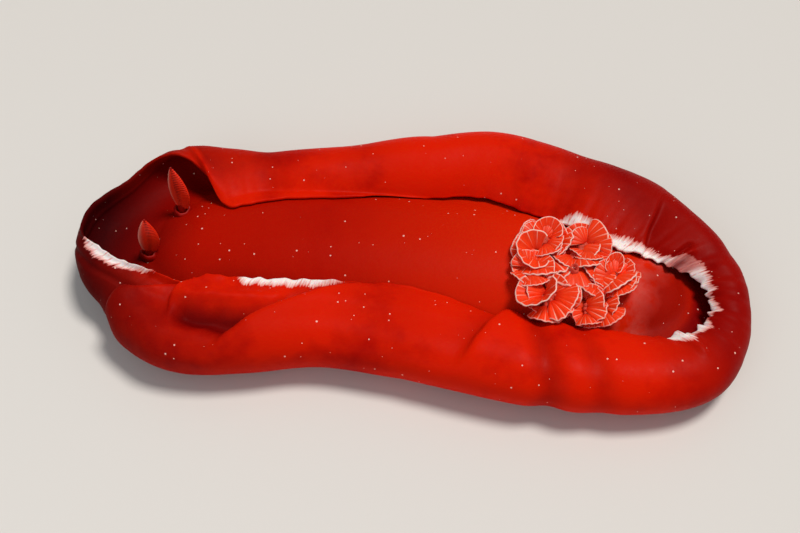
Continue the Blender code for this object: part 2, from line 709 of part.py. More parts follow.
def oral_tentacle(name, side):
    """A flat lobe with a scalloped tip, from the front of the head out under the mantle."""
    middle = float(axis_y(TRUNK_MIDDLE - TRUNK_HALF_LENGTH))
    splay = math.radians(TENTACLE_SPLAY) * side
    along = np.linspace(0, 1, 7)[:, None]
    across = np.linspace(-1, 1, 9)[None, :]
    width = TENTACLE_WIDTH / 2 * (TENTACLE_NECK + 0.4 * np.sin(np.pi * 0.72 * along))
    scallop = 1 + TENTACLE_SCALLOP * np.cos(3 * np.pi * across) * along
    reach = TENTACLE_LENGTH * along * (1 - TENTACLE_ROUND * across**2) * scallop
    root_y = middle + side * TENTACLE_FOOT + across * TENTACLE_WIDTH / 2 * TENTACLE_NECK
    upper = np.zeros((along.shape[0], across.shape[1], 3))
    upper[..., 0] = head_face(root_y) - FACE_GAP - reach * math.cos(splay)
    upper[..., 1] = middle + side * TENTACLE_FOOT + across * width + reach * math.sin(splay)
    upper[..., 2] = TENTACLE_TOP - TENTACLE_DROOP * along
    lower = upper.copy()
    lower[..., 2] -= TENTACLE_ROOT_THICK + (TENTACLE_TIP_THICK - TENTACLE_ROOT_THICK) * along
    closed_sheet(name, upper, lower, RED)


def centre_on_floor():
    """Moves the whole animal so that its outer box is centred on the origin."""
    bodies = [thing for thing in bpy.data.objects if thing.type == "MESH"]
    spots = np.array([v.co[:] for thing in bodies for v in thing.data.vertices])
    middle = (spots.min(axis=0) + spots.max(axis=0)) / 2
    for thing in bodies:
        for v in thing.data.vertices:
            v.co.x -= middle[0]
            v.co.y -= middle[1]


def main():
    clear_scene()
    trunk()
    foot()
    mantle()
    mouth()
    oral_tentacle("oral_tentacle_left", -1)
    oral_tentacle("oral_tentacle_right", 1)
    for name, sizes in RHINOPHORES.items():
        rhinophore(name, sizes["foot"], sizes["lean"], sizes["turn"])
    for name, sizes in GILLS.items():
        gill(name, sizes["foot"], sizes["height"], sizes["radius"])
    papilla()
    centre_on_floor()


main()
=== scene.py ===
# Spanish dancer nudibranch: the finished looks of a life-size museum model.
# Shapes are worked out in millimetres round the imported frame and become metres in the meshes.
import json
import math

import bmesh
import bpy
import numpy as np
from mathutils import Matrix, Vector

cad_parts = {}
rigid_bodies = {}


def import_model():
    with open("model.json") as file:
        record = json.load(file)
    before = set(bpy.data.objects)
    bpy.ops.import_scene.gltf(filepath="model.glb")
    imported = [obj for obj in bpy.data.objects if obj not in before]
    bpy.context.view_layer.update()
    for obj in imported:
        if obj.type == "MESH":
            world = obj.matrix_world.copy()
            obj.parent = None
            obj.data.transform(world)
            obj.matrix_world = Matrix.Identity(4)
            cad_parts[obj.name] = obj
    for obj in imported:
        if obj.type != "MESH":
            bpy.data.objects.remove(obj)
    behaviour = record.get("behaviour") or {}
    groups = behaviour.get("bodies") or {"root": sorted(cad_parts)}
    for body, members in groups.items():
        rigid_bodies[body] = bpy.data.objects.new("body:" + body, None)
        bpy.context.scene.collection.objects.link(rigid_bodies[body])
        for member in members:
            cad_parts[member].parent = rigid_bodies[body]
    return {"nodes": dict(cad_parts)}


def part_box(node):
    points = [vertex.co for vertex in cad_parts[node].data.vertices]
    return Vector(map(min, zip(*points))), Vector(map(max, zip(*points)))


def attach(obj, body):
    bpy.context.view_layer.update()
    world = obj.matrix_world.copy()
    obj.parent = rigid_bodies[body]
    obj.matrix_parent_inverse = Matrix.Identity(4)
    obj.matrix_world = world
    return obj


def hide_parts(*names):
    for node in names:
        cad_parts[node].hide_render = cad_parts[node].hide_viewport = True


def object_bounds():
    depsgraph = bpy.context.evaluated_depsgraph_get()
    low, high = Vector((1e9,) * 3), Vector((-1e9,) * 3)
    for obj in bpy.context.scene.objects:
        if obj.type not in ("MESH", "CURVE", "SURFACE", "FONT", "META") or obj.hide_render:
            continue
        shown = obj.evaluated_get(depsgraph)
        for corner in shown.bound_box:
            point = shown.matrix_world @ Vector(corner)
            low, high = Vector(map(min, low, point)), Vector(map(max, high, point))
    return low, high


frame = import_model()
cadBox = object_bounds()
mm = 0.001
body = "root"
# the rule below has the papilla at this spot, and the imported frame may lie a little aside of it
papillaSpot = (60.0, -3.0)
low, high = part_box("anal_papilla")
middle = (low + high) / 2
shift = np.array([middle.x / mm - papillaSpot[0], middle.y / mm - papillaSpot[1], 0.0])


def report(words):
    print("stage:", words)


report(f"shift {shift}")


# the trunk and the stations of the mantle follow the same rule as the solids
trunk = {
    "middle": 5.0,
    "halfLength": 94.0,
    "halfWidth": 27.0,
    "tailFullness": 2.4,
    "headFullness": 3.0,
    "axisBow": 5.0,
    "bowSpan": 100.0,
    "edgeHeight": 9.5,
    "backHeight": 20.0,
    "backRound": 2.2,
    "endPower": 4.0,
    "endEase": 0.8,
    "spineShare": 0.8,
}
# angle: reach, roll outwards, roll inwards, half its height, height under it, degrees turned over
stations = {
    0: (22, 7, 10, 7.0, 0.6, 232),
    16: (21, 8, 20, 7.5, 0.6, 236),
    30: (22, 8, 30, 8.0, 0.6, 234),
    44: (26, 11, 37, 8.5, 0.6, 236),
    56: (27, 12, 34, 9.0, 0.6, 226),
    68: (29, 12, 26, 9.0, 0.6, 240),
    82: (30.5, 12, 20, 9.0, 0.6, 250),
    100: (17.5, 10.5, 18, 8.7, 0.6, 250),
    116: (14.5, 10, 18, 8.4, 0.6, 250),
    128: (17, 10.5, 24, 8.6, 0.6, 246),
    136: (20, 11, 26, 9.0, 0.8, 240),
    141: (21, 11, 14, 9.5, 1.2, 172),
    147: (20.5, 11.5, 8, 10.0, 2.4, 138),
    155: (19, 12, 8, 10.0, 3.4, 116),
    166: (18.5, 12, 8, 9.5, 4.0, 104),
    180: (25.5, 13, 8, 9.5, 4.0, 112),
    194: (24.5, 11, 14, 9.5, 4.0, 172),
    206: (24, 11, 24, 9.5, 2.4, 196),
    220: (29, 13, 36, 9.5, 0.6, 206),
    236: (31.5, 13, 42, 10.0, 0.6, 214),
    250: (26, 12, 36, 10.0, 0.6, 220),
    262: (20, 11, 28, 10.0, 0.6, 232),
    274: (22.5, 11.5, 24, 10.0, 0.6, 250),
    290: (27.5, 13, 22, 10.0, 0.6, 255),
    310: (31, 13, 21, 9.5, 0.6, 250),
    328: (32, 12, 15, 9.0, 0.6, 232),
    345: (25.5, 9, 9, 7.5, 0.6, 222),
}
mantle = {
    "leanAtRoot": -0.25,
    "rollShrink": 0.22,
    "shareKnots": (0.0, 0.3, 0.6, 0.9, 1.0),
    "thickness": (7.0, 4.0, 3.0, 2.2, 1.2),
    "rollFootThickness": 3.6,
    "headThickness": 4.5,
    "headThinSpan": 34.0,
    "backClearance": 0.5,
    "floorClearance": 0.25,
    "rootShare": 0.12,
    "underShare": 0.3,
    "foldStep": 1.15,
    "foldStart": 0.08,
    "foldEase": 0.045,
    "foldWindow": 17,
    "lapFrom": 0.85,
    "deepSink": 5.0,
    "valleyEase": 0.06,
    # painted shade laid into the valleys and dents, for each mm of their depth
    "valleyShade": 0.3,
    "dentShade": 0.22,
    "usualAcross": 60.0,
    "mmPerDegree": 1.55,
    "foldShadeFade": 5.0,
    "boxEase": 1.2,
    "sagFrom": 0.72,
    "sag": ((0, 0), (50, 0), (60, 2.0), (70, 3.4), (84, 3.8), (110, 3.0), (128, 1.6), (138, 0), (360, 0)),
}
# each fold's line, from its foot to the edge, as pairs of angle and share; the side past the line
# stands proud and laps over the other, or the near side does where it is turned
folds = (
    {
        "line": ((212.5, 0.55), (211.5, 0.79), (218.5, 0.895), (227, 1.0)),
        "sink": 4.6, "proud": 2.2, "fade": 13.0, "lap": 2.6,
    },
    {
        "line": ((230.5, 0.70), (227.5, 0.80), (226.5, 0.87), (227, 0.94), (232, 1.0)),
        "sink": 3.0, "proud": 1.5, "fade": 8.0, "lap": 1.8,
    },
    {
        "line": (
            (243.5, 0.58), (245, 0.67), (248.5, 0.74), (252.5, 0.80), (258, 0.85), (264, 0.94), (268, 1.0),
        ),
        "sink": 4.8, "proud": 2.0, "fade": 15.0, "lap": 2.8,
    },
    {
        "line": ((277, 0.52), (279, 0.62), (281, 0.73), (284, 0.85), (288, 1.0)),
        "sink": 3.0, "proud": 1.4, "fade": 13.0, "lap": 1.6,
    },
    {
        "line": ((40.5, 0.54), (38.5, 0.64), (36, 0.80), (33.5, 0.90), (29.5, 1.0)),
        "sink": 3.0, "proud": 0.9, "fade": 10.0, "lap": 1.2,
    },
    {
        "line": ((141.5, 0.74), (140.5, 0.81), (139.5, 0.89), (139, 1.0)),
        "sink": 2.2, "proud": 0.6, "fade": 9.0, "lap": 1.6, "turned": True,
    },
)
# soft valleys across the roll: angle, how deep, how wide, and the share where each starts
valleys = (
    {"angle": 293.5, "deep": 1.7, "wide": 4.2, "from": 0.36},
    {"angle": 303.5, "deep": 1.1, "wide": 4.6, "from": 0.42},
    {"angle": 268.0, "deep": 0.8, "wide": 8.0, "from": 0.40},
    {"angle": 118.0, "deep": 0.7, "wide": 8.0, "from": 0.40},
    {"angle": 97.0, "deep": 0.7, "wide": 9.0, "from": 0.40},
    {"angle": 62.0, "deep": 0.8, "wide": 7.0, "from": 0.45},
    {"angle": 14.0, "deep": 0.7, "wide": 6.0, "from": 0.45},
)
# dents, and ridges where the depth is below zero, along a path of angle and share
dents = (
    {"path": ((233, 0.77), (240, 0.755), (245, 0.715)), "deep": 4.4, "wide": 4.0},
    {"path": ((231, 0.86), (237, 0.885), (244, 0.875), (251, 0.865)), "deep": -2.0, "wide": 3.6},
    {"path": ((216, 0.73), (221, 0.70), (228, 0.63)), "deep": -1.6, "wide": 6.0},
    {"path": ((205, 0.62), (209, 0.60), (213, 0.52)), "deep": 1.8, "wide": 6.0},
    {"path": ((20.5, 0.80), (20, 0.9), (19.6, 1.0)), "deep": 1.5, "wide": 1.5},
    {"path": ((17.4, 0.84), (17.0, 0.92), (16.6, 1.0)), "deep": -1.7, "wide": 1.7},
    {"path": ((8.5, 0.86), (8.0, 1.0)), "deep": 0.9, "wide": 1.8},
    {"path": ((331, 0.84), (330, 1.0)), "deep": -1.2, "wide": 2.2},
)
# how high the small waves of the thin edge are at each angle, and how far in they reach
ruffle = {
    "high": (
        (0, 0.85), (25, 0.9), (60, 0.6), (75, 0.22), (130, 0.2), (142, 0.06), (182, 0.08), (192, 0.35),
        (208, 0.3), (218, 0.12), (238, 0.2), (245, 0.4), (262, 0.3), (270, 0.12), (318, 0.12), (328, 0.5),
        (338, 0.9), (360, 0.85),
    ),
    "reach": 5.5,
    "waves": ((4.9, 0.45, 0.3), (7.7, 0.6, 1.9), (12.5, 0.7, 4.1)),
    "sideways": 0.6,
    "sidewaysFrom": 97.0,
}
# rows of the skin from the spine to the sole; the foot's rows are pairs of inset and height
skinGrid = {
    "columns": 640,
    "back": 20,
    "upper": 40,
    "lip": 3,
    "lower": 64,
    "lowerEase": 1.25,
    "footRows": ((0.6, 9.5), (1.6, 2.7), (2.6, 2.3), (3.0, 1.4), (3.3, 0.7), (3.8, 0.2), (4.4, 0.0)),
    "sole": 5,
    "evenAt": 14.0,
    "aroundRow": 20,
}


def hermite(t, start, startSlope, end, endSlope):
    rise = (2 * t**3 - 3 * t**2 + 1) * start + (3 * t**2 - 2 * t**3) * end
    return rise + (t**3 - 2 * t**2 + t) * startSlope + (t**3 - t**2) * endSlope


def stationValues(angles):
    knots = np.array(sorted(stations), float)
    rows = np.array([stations[k] for k in sorted(stations)], float)
    knots = np.concatenate([knots - 360, knots, knots + 360])
    rows = np.concatenate([rows, rows, rows])
    angles = np.mod(angles, 360.0)
    i = np.searchsorted(knots, angles, side="right") - 1
    step = (knots[i + 1] - knots[i])[:, None]
    t = (angles - knots[i])[:, None] / step
    before = (rows[i + 1] - rows[i - 1]) / (knots[i + 1] - knots[i - 1])[:, None] * step
    after = (rows[i + 2] - rows[i]) / (knots[i + 2] - knots[i])[:, None] * step
    return hermite(t, rows[i], before, rows[i + 1], after)


def axisY(x):
    return trunk["axisBow"] * (1 - (x / trunk["bowSpan"]) ** 2)


def fullness(along):
    return np.where(np.asarray(along) < 0, trunk["headFullness"], trunk["tailFullness"])


def trunkEdge(angles):
    c = np.cos(np.radians(angles))
    s = np.sin(np.radians(angles))
    power = 2 / fullness(c)
    x = trunk["middle"] + trunk["halfLength"] * np.sign(c) * np.abs(c) ** power
    return x, axisY(x) + trunk["halfWidth"] * np.sign(s) * np.abs(s) ** power


def outward(angles):
    c = np.cos(np.radians(angles)) * math.sqrt(trunk["halfWidth"] / trunk["halfLength"])
    s = np.sin(np.radians(angles))
    length = np.hypot(c, s)
    return c / length, s / length


def backHeight(x, y):
    along = np.clip(np.abs(x - trunk["middle"]) / trunk["halfLength"], 0, 1)
    power = fullness(x - trunk["middle"])
    half = trunk["halfWidth"] * (1 - along**power) ** (1 / power) + 1e-6
    across = np.clip(np.abs(y - axisY(x)) / half, 0, 1)
    ends = (1 - along ** trunk["endPower"]) ** trunk["endEase"]
    rise = (trunk["backHeight"] - trunk["edgeHeight"]) * ends
    return trunk["edgeHeight"] + rise * (1 - across ** trunk["backRound"])


def onBack(spot, rise=0.0):
    return np.array([*spot, float(backHeight(np.array(spot[0]), np.array(spot[1]))) + rise])


def thickness(angles, shares):
    plain = np.interp(shares, mantle["shareKnots"], mantle["thickness"])[None, :]
    head = np.exp(-(((np.mod(angles, 360)[:, None] - 180) / mantle["headThinSpan"]) ** 2))
    nearTrunk = np.clip(1 - shares / mantle["shareKnots"][1], 0, 1)[None, :]
    return plain - (mantle["thickness"][0] - mantle["headThickness"]) * head * nearTrunk


# the mantle's middle line at one station: a slope down from the trunk, and the roll over its end
def profile(values, rootThickness, shares):
    reach, wide, inner, halfHeight, under, turn = values
    slopeRun = reach - wide
    start = trunk["edgeHeight"] - rootThickness / 2
    foot = under + mantle["rollFootThickness"] / 2
    t = np.linspace(0, 1, 60)
    height = hermite(t, start, mantle["leanAtRoot"] * slopeRun, foot, 0.0)
    slope = np.stack([slopeRun * t, height], -1)
    degrees = np.linspace(0, turn, 140)[1:]
    angle = np.radians(degrees)
    shrink = 1 - mantle["rollShrink"] * np.clip((degrees - 120) / 150, 0, 1)
    side = np.where(degrees < 180, wide, inner)
    rollOut = slopeRun + side * shrink * np.sin(angle)
    rollUp = foot + halfHeight - halfHeight * shrink * np.cos(angle)
    line = np.concatenate([slope, np.stack([rollOut, rollUp], -1)])
    run = np.concatenate([[0], np.cumsum(np.hypot(*np.diff(line, axis=0).T))])
    at = np.asarray(shares) * run[-1]
    return np.interp(at, run, line[:, 0]), np.interp(at, run, line[:, 1]), run[-1]


def aboveBack(points, thick):
    x, y, z = np.moveaxis(points, -1, 0)
    pastTop = np.arange(z.shape[1])[None, :] > np.argmax(z, axis=1)[:, None]
    clear = mantle["backClearance"]
    lowest = backHeight(x, y) + clear + thick / 2
    eased = lowest + np.logaddexp(0, (z - lowest) / clear) * clear
    return np.stack([x, y, np.where(pastTop, eased, z)], -1)


def mantleMiddle(angles, shares):
    thick = thickness(angles, shares)
    x, y = trunkEdge(angles)
    outX, outY = outward(angles)
    lines = [profile(v, t, shares) for v, t in zip(stationValues(angles), thick[:, 0])]
    run, height, across = (np.array([line[k] for line in lines]) for k in range(3))
    spots = [x[:, None] + outX[:, None] * run, y[:, None] + outY[:, None] * run, height]
    return aboveBack(np.stack(spots, -1), thick), across


# how far each angle lies past another, in mm along the edge
def pastAngle(angles, at):
    return ((angles - at + 180) % 360 - 180) * mantle["mmPerDegree"]


def begun(shares, start, ease):
    return 1 / (1 + np.exp(-(shares - start) / ease))


def fading(past, reach):
    return np.exp(-np.abs(past) / reach)


# how far a fold lifts the sheet, how far it slides it along to lap over, and how strong the painted shade in
# its crease is
def foldShape(angles, shares, fold):
    line = np.array(fold["line"], float)
    fine = np.linspace(-0.1, 1.1, 241)
    window = np.hanning(mantle["foldWindow"])
    course = np.convolve(np.interp(fine, line[:, 1], line[:, 0]), window / window.sum(), "same")
    end = (len(window) + 1) // 2
    course[:end], course[-end:] = course[end], course[-end - 1]
    slant = np.hypot(1, np.gradient(course, fine) * mantle["mmPerDegree"] / mantle["usualAcross"])
    way = -1 if fold.get("turned") else 1
    past = pastAngle(angles[:, None], np.interp(shares, fine, course)[None, :]) * way
    past = past / np.interp(shares, fine, slant)[None, :]
    start = begun(shares[None, :], line[0, 1] + mantle["foldStart"], mantle["foldEase"])
    high = 0.5 * (1 + np.tanh(past / mantle["foldStep"]))
    proud = fold["proud"] * high * fading(past, 0.6 * fold["fade"])
    sunk = fold["sink"] * (1 - high) * fading(past, fold["fade"])
    slide = fold["lap"] * high * fading(past, 0.7 * fold["fade"])
    foldShade = start * (1 - high) * fading(past, mantle["foldShadeFade"])
    return start * (proud - sunk), -way * start * slide, foldShade * fold["sink"] / mantle["deepSink"]


def valleyLift(angles, shares, valley):
    cut = np.exp(-((pastAngle(angles, valley["angle"]) / valley["wide"]) ** 2))
    return -valley["deep"] * cut[:, None] * begun(shares, valley["from"], mantle["valleyEase"])[None, :]


def dentLift(angles, shares, across, dent):
    path = np.array(dent["path"], float)
    spotX = pastAngle(angles, path[0, 0])[:, None] * np.ones_like(shares)[None, :]
    spotY = shares[None, :] * across[:, None]
    pathX = pastAngle(path[:, 0], path[0, 0])
    pathAcross = np.interp(np.mod(path[:, 0] - angles[0], 360), np.mod(angles - angles[0], 360), across)
    pathY = path[:, 1] * pathAcross
    nearest = np.full(spotX.shape, np.inf)
    for k in range(len(path) - 1):
        runX, runY = pathX[k + 1] - pathX[k], pathY[k + 1] - pathY[k]
        part = ((spotX - pathX[k]) * runX + (spotY - pathY[k]) * runY) / (runX**2 + runY**2)
        part = np.clip(part, 0, 1)
        away = np.hypot(spotX - pathX[k] - part * runX, spotY - pathY[k] - part * runY)
        nearest = np.minimum(nearest, away)
    return -dent["deep"] * np.exp(-((nearest / dent["wide"]) ** 2))


# small waves of the thin edge that die out away from it
def ruffleWave(angles, fromEdge, start=0.0):
    along = (angles + start) * mantle["mmPerDegree"]
    wave = sum(high * np.sin(2 * np.pi * along / long + turn) for long, high, turn in ruffle["waves"])
    at, high = np.array(ruffle["high"], float).T
    size = np.interp(np.mod(angles, 360), at, high)
    return (size * wave)[:, None] * np.exp(-fromEdge / ruffle["reach"])


def unit(vectors):
    return vectors / np.linalg.norm(vectors, axis=-1, keepdims=True)


# the mantle's inner and outer faces, its length from root to edge, and how much painted shade each spot gets
# from the folds, valleys and dents
def mantleFaces(angles, shares):
    small = 0.01
    middle, across = mantleMiddle(angles, shares)
    along = mantleMiddle(angles + 0.5, shares)[0] - mantleMiddle(angles - 0.5, shares)[0]
    ahead = mantleMiddle(angles, np.clip(shares + small, 0, 1))[0]
    ahead = ahead - mantleMiddle(angles, np.clip(shares - small, 0, 1))[0]
    upwards = np.array([0.0, 0.0, 1.0])
    normal = unit(np.cross(ahead, along))
    normal *= np.sign(normal[:, :1, 2:3])
    upright = np.clip(1 - shares / mantle["rootShare"], 0, 1)[None, :, None]
    normal = unit(normal * (1 - upright) + upwards * upright)
    thick = thickness(angles, shares)
    # the folds, valleys and dents also give the painted shade that darkens their creases
    lifts, slide, hollow = np.zeros((3, *middle.shape[:2]))
    for fold in folds:
        lift, slid, foldShade = foldShape(angles, shares, fold)
        lifts += lift
        slide += slid
        hollow += foldShade
    for valley in valleys:
        lift = valleyLift(angles, shares, valley)
        lifts += lift
        hollow += mantle["valleyShade"] * np.clip(-lift, 0, 2)
    for dent in dents:
        lift = dentLift(angles, shares, across, dent)
        lifts += lift
        hollow += mantle["dentShade"] * np.clip(-lift, -3, 5)
    fromEdge = across[:, None] * (1 - shares)[None, :]
    sideways = ruffle["sideways"] * ruffleWave(angles, fromEdge, ruffle["sidewaysFrom"])
    lifts -= ruffleWave(angles, fromEdge)
    middle = middle - normal * lifts[..., None] + unit(ahead) * sideways[..., None]
    at, drop = np.array(mantle["sag"], float).T
    towardsEdge = np.clip((shares - mantle["sagFrom"]) / (1 - mantle["sagFrom"]), 0, 1) ** 1.5
    drop = np.interp(np.mod(angles, 360), at, drop)[:, None] * towardsEdge[None, :]
    middle = aboveBack(middle - upwards * drop[..., None], thick)
    half = normal * thick[..., None] / 2
    slid = unit(along) * slide[..., None]
    atEdge = np.clip((shares - mantle["lapFrom"]) / (1 - mantle["lapFrom"]), 0, 1)[None, :, None]
    upper = middle + half + slid * atEdge
    lower = middle - half + slid
    lower[..., 2] = np.maximum(lower[..., 2], mantle["floorClearance"])
    return upper, lower, across, np.clip(hollow, 0, 1)


# angles alike on both sides, about evenly spaced along the mantle
def evenAngles(count):
    fine = np.linspace(0, 180, 1441)
    length = np.zeros(len(fine))
    for side in (1, -1):
        x, y = trunkEdge(side * fine)
        outX, outY = outward(side * fine)
        rim = np.stack([x + skinGrid["evenAt"] * outX, y + skinGrid["evenAt"] * outY], -1)
        length[1:] += np.cumsum(np.hypot(*np.diff(rim, axis=0).T))
    half = np.interp(np.linspace(0, length[-1], count // 2 + 1), length, fine)
    return np.concatenate([half, 360 - half[-2:0:-1]])


# a grid of points from the spine out over the mantle, round its lip and under to the sole, with
# each point's mm from the edge, its place on the back (1) or sole (-1), and its painted fold shade
def skinSurface():
    angles = evenAngles(skinGrid["columns"])
    x, y = trunkEdge(angles)
    outX, outY = outward(angles)
    rows = []

    def addRow(points, fromEdge, place=0.0, hollow=0.0):
        numbers = [np.broadcast_to(v, len(points))[:, None] for v in (fromEdge, place, hollow)]
        rows.append(np.concatenate([points, *numbers], -1))

    upShares = np.linspace(0, 1, skinGrid["upper"] + 1)
    downShares = 1 - np.linspace(1, 0, skinGrid["lower"] + 1) ** skinGrid["lowerEase"]
    upper, _, across, _ = mantleFaces(angles, upShares)
    _, lower, _, hollow = mantleFaces(angles, downShares)
    downShares, lower, hollow = downShares[::-1], lower[:, ::-1], hollow[:, ::-1]
    spineX = trunk["middle"] + (x - trunk["middle"]) * trunk["spineShare"]
    spineY = axisY(spineX)
    for w in np.linspace(0, 1, skinGrid["back"] + 1)[:-1]:
        px = spineX + (x - spineX) * w
        py = spineY + (y - spineY) * w
        inset = (1 - w) * np.hypot(x - spineX, y - spineY)
        addRow(np.stack([px, py, backHeight(px, py)], -1), -across - inset, 1.0)
    for k, share in enumerate(upShares):
        addRow(upper[:, k], -across * (1 - share), max(0.0, 1 - share / mantle["rootShare"]))
    # the lip is half round
    a, b = upper[:, -1], lower[:, 0]
    before = unit(upper[:, -1] - upper[:, -2] + lower[:, 0] - lower[:, 1])
    half = np.linalg.norm(a - b, axis=-1, keepdims=True) / 2
    for k in range(1, skinGrid["lip"] + 1):
        turn = math.pi * k / (skinGrid["lip"] + 1)
        addRow((a + b) / 2 + (a - b) / 2 * math.cos(turn) + before * half * math.sin(turn), 0.0)
    for k, share in enumerate(downShares):
        addRow(lower[:, k], across * (1 - share), -max(0.0, 1 - share / mantle["underShare"]), hollow[:, k])
    lowest = lower[:, -1, 2]
    for inset, height in skinGrid["footRows"]:
        z = np.minimum(height, lowest)
        addRow(np.stack([x - inset * outX, y - inset * outY, z], -1), across + inset, -1.0)
    lastX, lastY = rows[-1][:, 0], rows[-1][:, 1]
    # on the sole the mm only have to grow, clear of the edge's looks
    for w in np.linspace(0, 1, skinGrid["sole"] + 1)[1:]:
        px = lastX + (spineX - lastX) * w
        py = lastY + (spineY - lastY) * w
        addRow(np.stack([px, py, np.zeros(len(x))], -1), across + 10 + 20 * w, -1.0)
    grid = np.stack(rows, 1)
    # the sheet is eased back where its ruffles would pass the outer box
    soft = mantle["boxEase"]
    for axis in (0, 1):
        for side, corner in zip((-1, 1), cadBox):
            past = side * (grid[..., axis] - corner[axis] / mm + shift[axis]) + soft
            grid[..., axis] -= side * np.where(past > 0, past - soft * np.tanh(past / soft), 0.0)
    rim = lower[:, skinGrid["aroundRow"]]
    steps = np.hypot(*(np.roll(rim, -1, 0) - rim)[:, :2].T)
    around = np.concatenate([[0], np.cumsum(steps)[:-1]])
    return angles, grid, around


def toMetres(points):
    return (np.asarray(points, float) + shift) * mm


# a mesh with a number from each named list kept on its points
def newMesh(name, points, faces, values):
    mesh = bpy.data.meshes.new(name)
    mesh.from_pydata(np.asarray(points).tolist(), [], faces)
    for label, numbers in values.items():
        layer = mesh.attributes.new(label, "FLOAT", "POINT")
        layer.data.foreach_set("value", np.asarray(numbers, np.float32).reshape(-1))
    return mesh


# merges doubles where a distance in mm is given, and turns all faces outwards
def turnOutwards(mesh, distance=0.0):
    shape = bmesh.new()
    shape.from_mesh(mesh)
    if distance:
        bmesh.ops.remove_doubles(shape, verts=shape.verts[:], dist=distance * mm)
        bmesh.ops.dissolve_degenerate(shape, edges=shape.edges[:], dist=0.1 * distance * mm)
    bmesh.ops.recalc_face_normals(shape, faces=shape.faces[:])
    if shape.calc_volume(signed=True) < 0:
        bmesh.ops.reverse_faces(shape, faces=shape.faces[:])
    shape.to_mesh(mesh)
    shape.free()


# the faces of two alike grids of points, joined round their border into one closed body
def sheetFaces(rows, columns):
    half = rows * columns
    corners = [i * columns + j for i in range(rows - 1) for j in range(columns - 1)]
    faces = [(a, a + 1, a + columns + 1, a + columns) for a in corners]
    faces += [(half + a, half + a + columns, half + a + columns + 1, half + a + 1) for a in corners]
    border = list(range(columns)) + [i * columns + columns - 1 for i in range(1, rows)]
    border += [(rows - 1) * columns + j for j in range(columns - 2, -1, -1)]
    border += [i * columns for i in range(rows - 2, 0, -1)]
    return faces + [(a, half + a, half + b, b) for a, b in zip(border, border[1:] + border[:1])]


def closedSheet(name, upper, lower):
    points = toMetres(np.concatenate([upper.reshape(-1, 3), lower.reshape(-1, 3)]))
    mesh = newMesh(name, points, sheetFaces(*upper.shape[:2]), {})
    turnOutwards(mesh, 0.01)
    return mesh


# dresses a mesh, makes it a piece of the body, and lets it stand for the named solids
def finishPiece(name, mesh, material, slotName, *solids):
    mesh.materials.clear()
    mesh.materials.append(material)
    mesh.polygons.foreach_set("material_index", [0] * len(mesh.polygons))
    mesh.shade_smooth()
    piece = bpy.data.objects.new(name, mesh)
    bpy.context.collection.objects.link(piece)
    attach(piece, body)
    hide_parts(*solids)


def linear(value):
    return value / 12.92 if value <= 0.04045 else ((value + 0.055) / 1.055) ** 2.4


# an sRGB hex colour as linear values
def hexColour(code):
    parts = [int(code[k : k + 2], 16) / 255 for k in (1, 3, 5)]
    return (*[linear(p) for p in parts], 1.0)


# adds a node with its settings; an input takes a value, a socket or a node, which gives its first
# live output, and inputs without names are filled in order
def addNode(tree, kind, inputs=(), **settings):
    node = tree.nodes.new(kind)
    for key, value in settings.items():
        setattr(node, key, value)
    for key, value in inputs.items() if isinstance(inputs, dict) else enumerate(inputs):
        if isinstance(value, bpy.types.Node):
            value = next(socket for socket in value.outputs if socket.enabled)
        if isinstance(value, bpy.types.NodeSocket):
            tree.links.new(value, node.inputs[key])
        else:
            node.inputs[key].default_value = value
    return node


def newMaterial(name):
    material = bpy.data.materials.new(name)
    material.use_nodes = True
    material.node_tree.nodes.clear()
    return material, material.node_tree


flesh = {
    "red": "#b80a00",
    "warm": "#dc1c00",
    "deep": "#780204",
    "lining": "#980400",
    # painted shade in the folds, valleys and dents
    "foldShade": "#6e0203",
    # painted light on the top of the hump
    "paintedHumpLight": "#d62203",
    # painted shade in the bowl by the head
    "bowlShade": "#3c0204",
    "sole": "#b8301f",
    "band": "#fdf3f0",
    # the border's own blush, also laid as a painted sheen on the end of the hump
    "blushAndSheen": "#e58f86",
    "fleck": "#ffd0c2",
    "fleckMm": 3.0,
    "fleckStrength": 0.75,
    "raggedMm": 4.0,
    "bumpMm": 0.22,
    # each grain's size in mm, detail and roughness
    "grains": {
        "mottle": (26.0, 4.0, 0.55),
        "broad": (7.0, 3.0, 0.5),
        "fine": (5.2, 3.0, 0.6),
        "grain": (1.6, 4.0, 0.6),
    },
    # the border's tears: how they stretch along and across the edge, then size, detail and roughness
    "tears": {"fibres": ((1.0, 0.16, 1.0), 0.9, 3.0, 0.6), "patches": ((0.16, 0.05, 1.0), 1.0, 2.0, 0.5)},
}
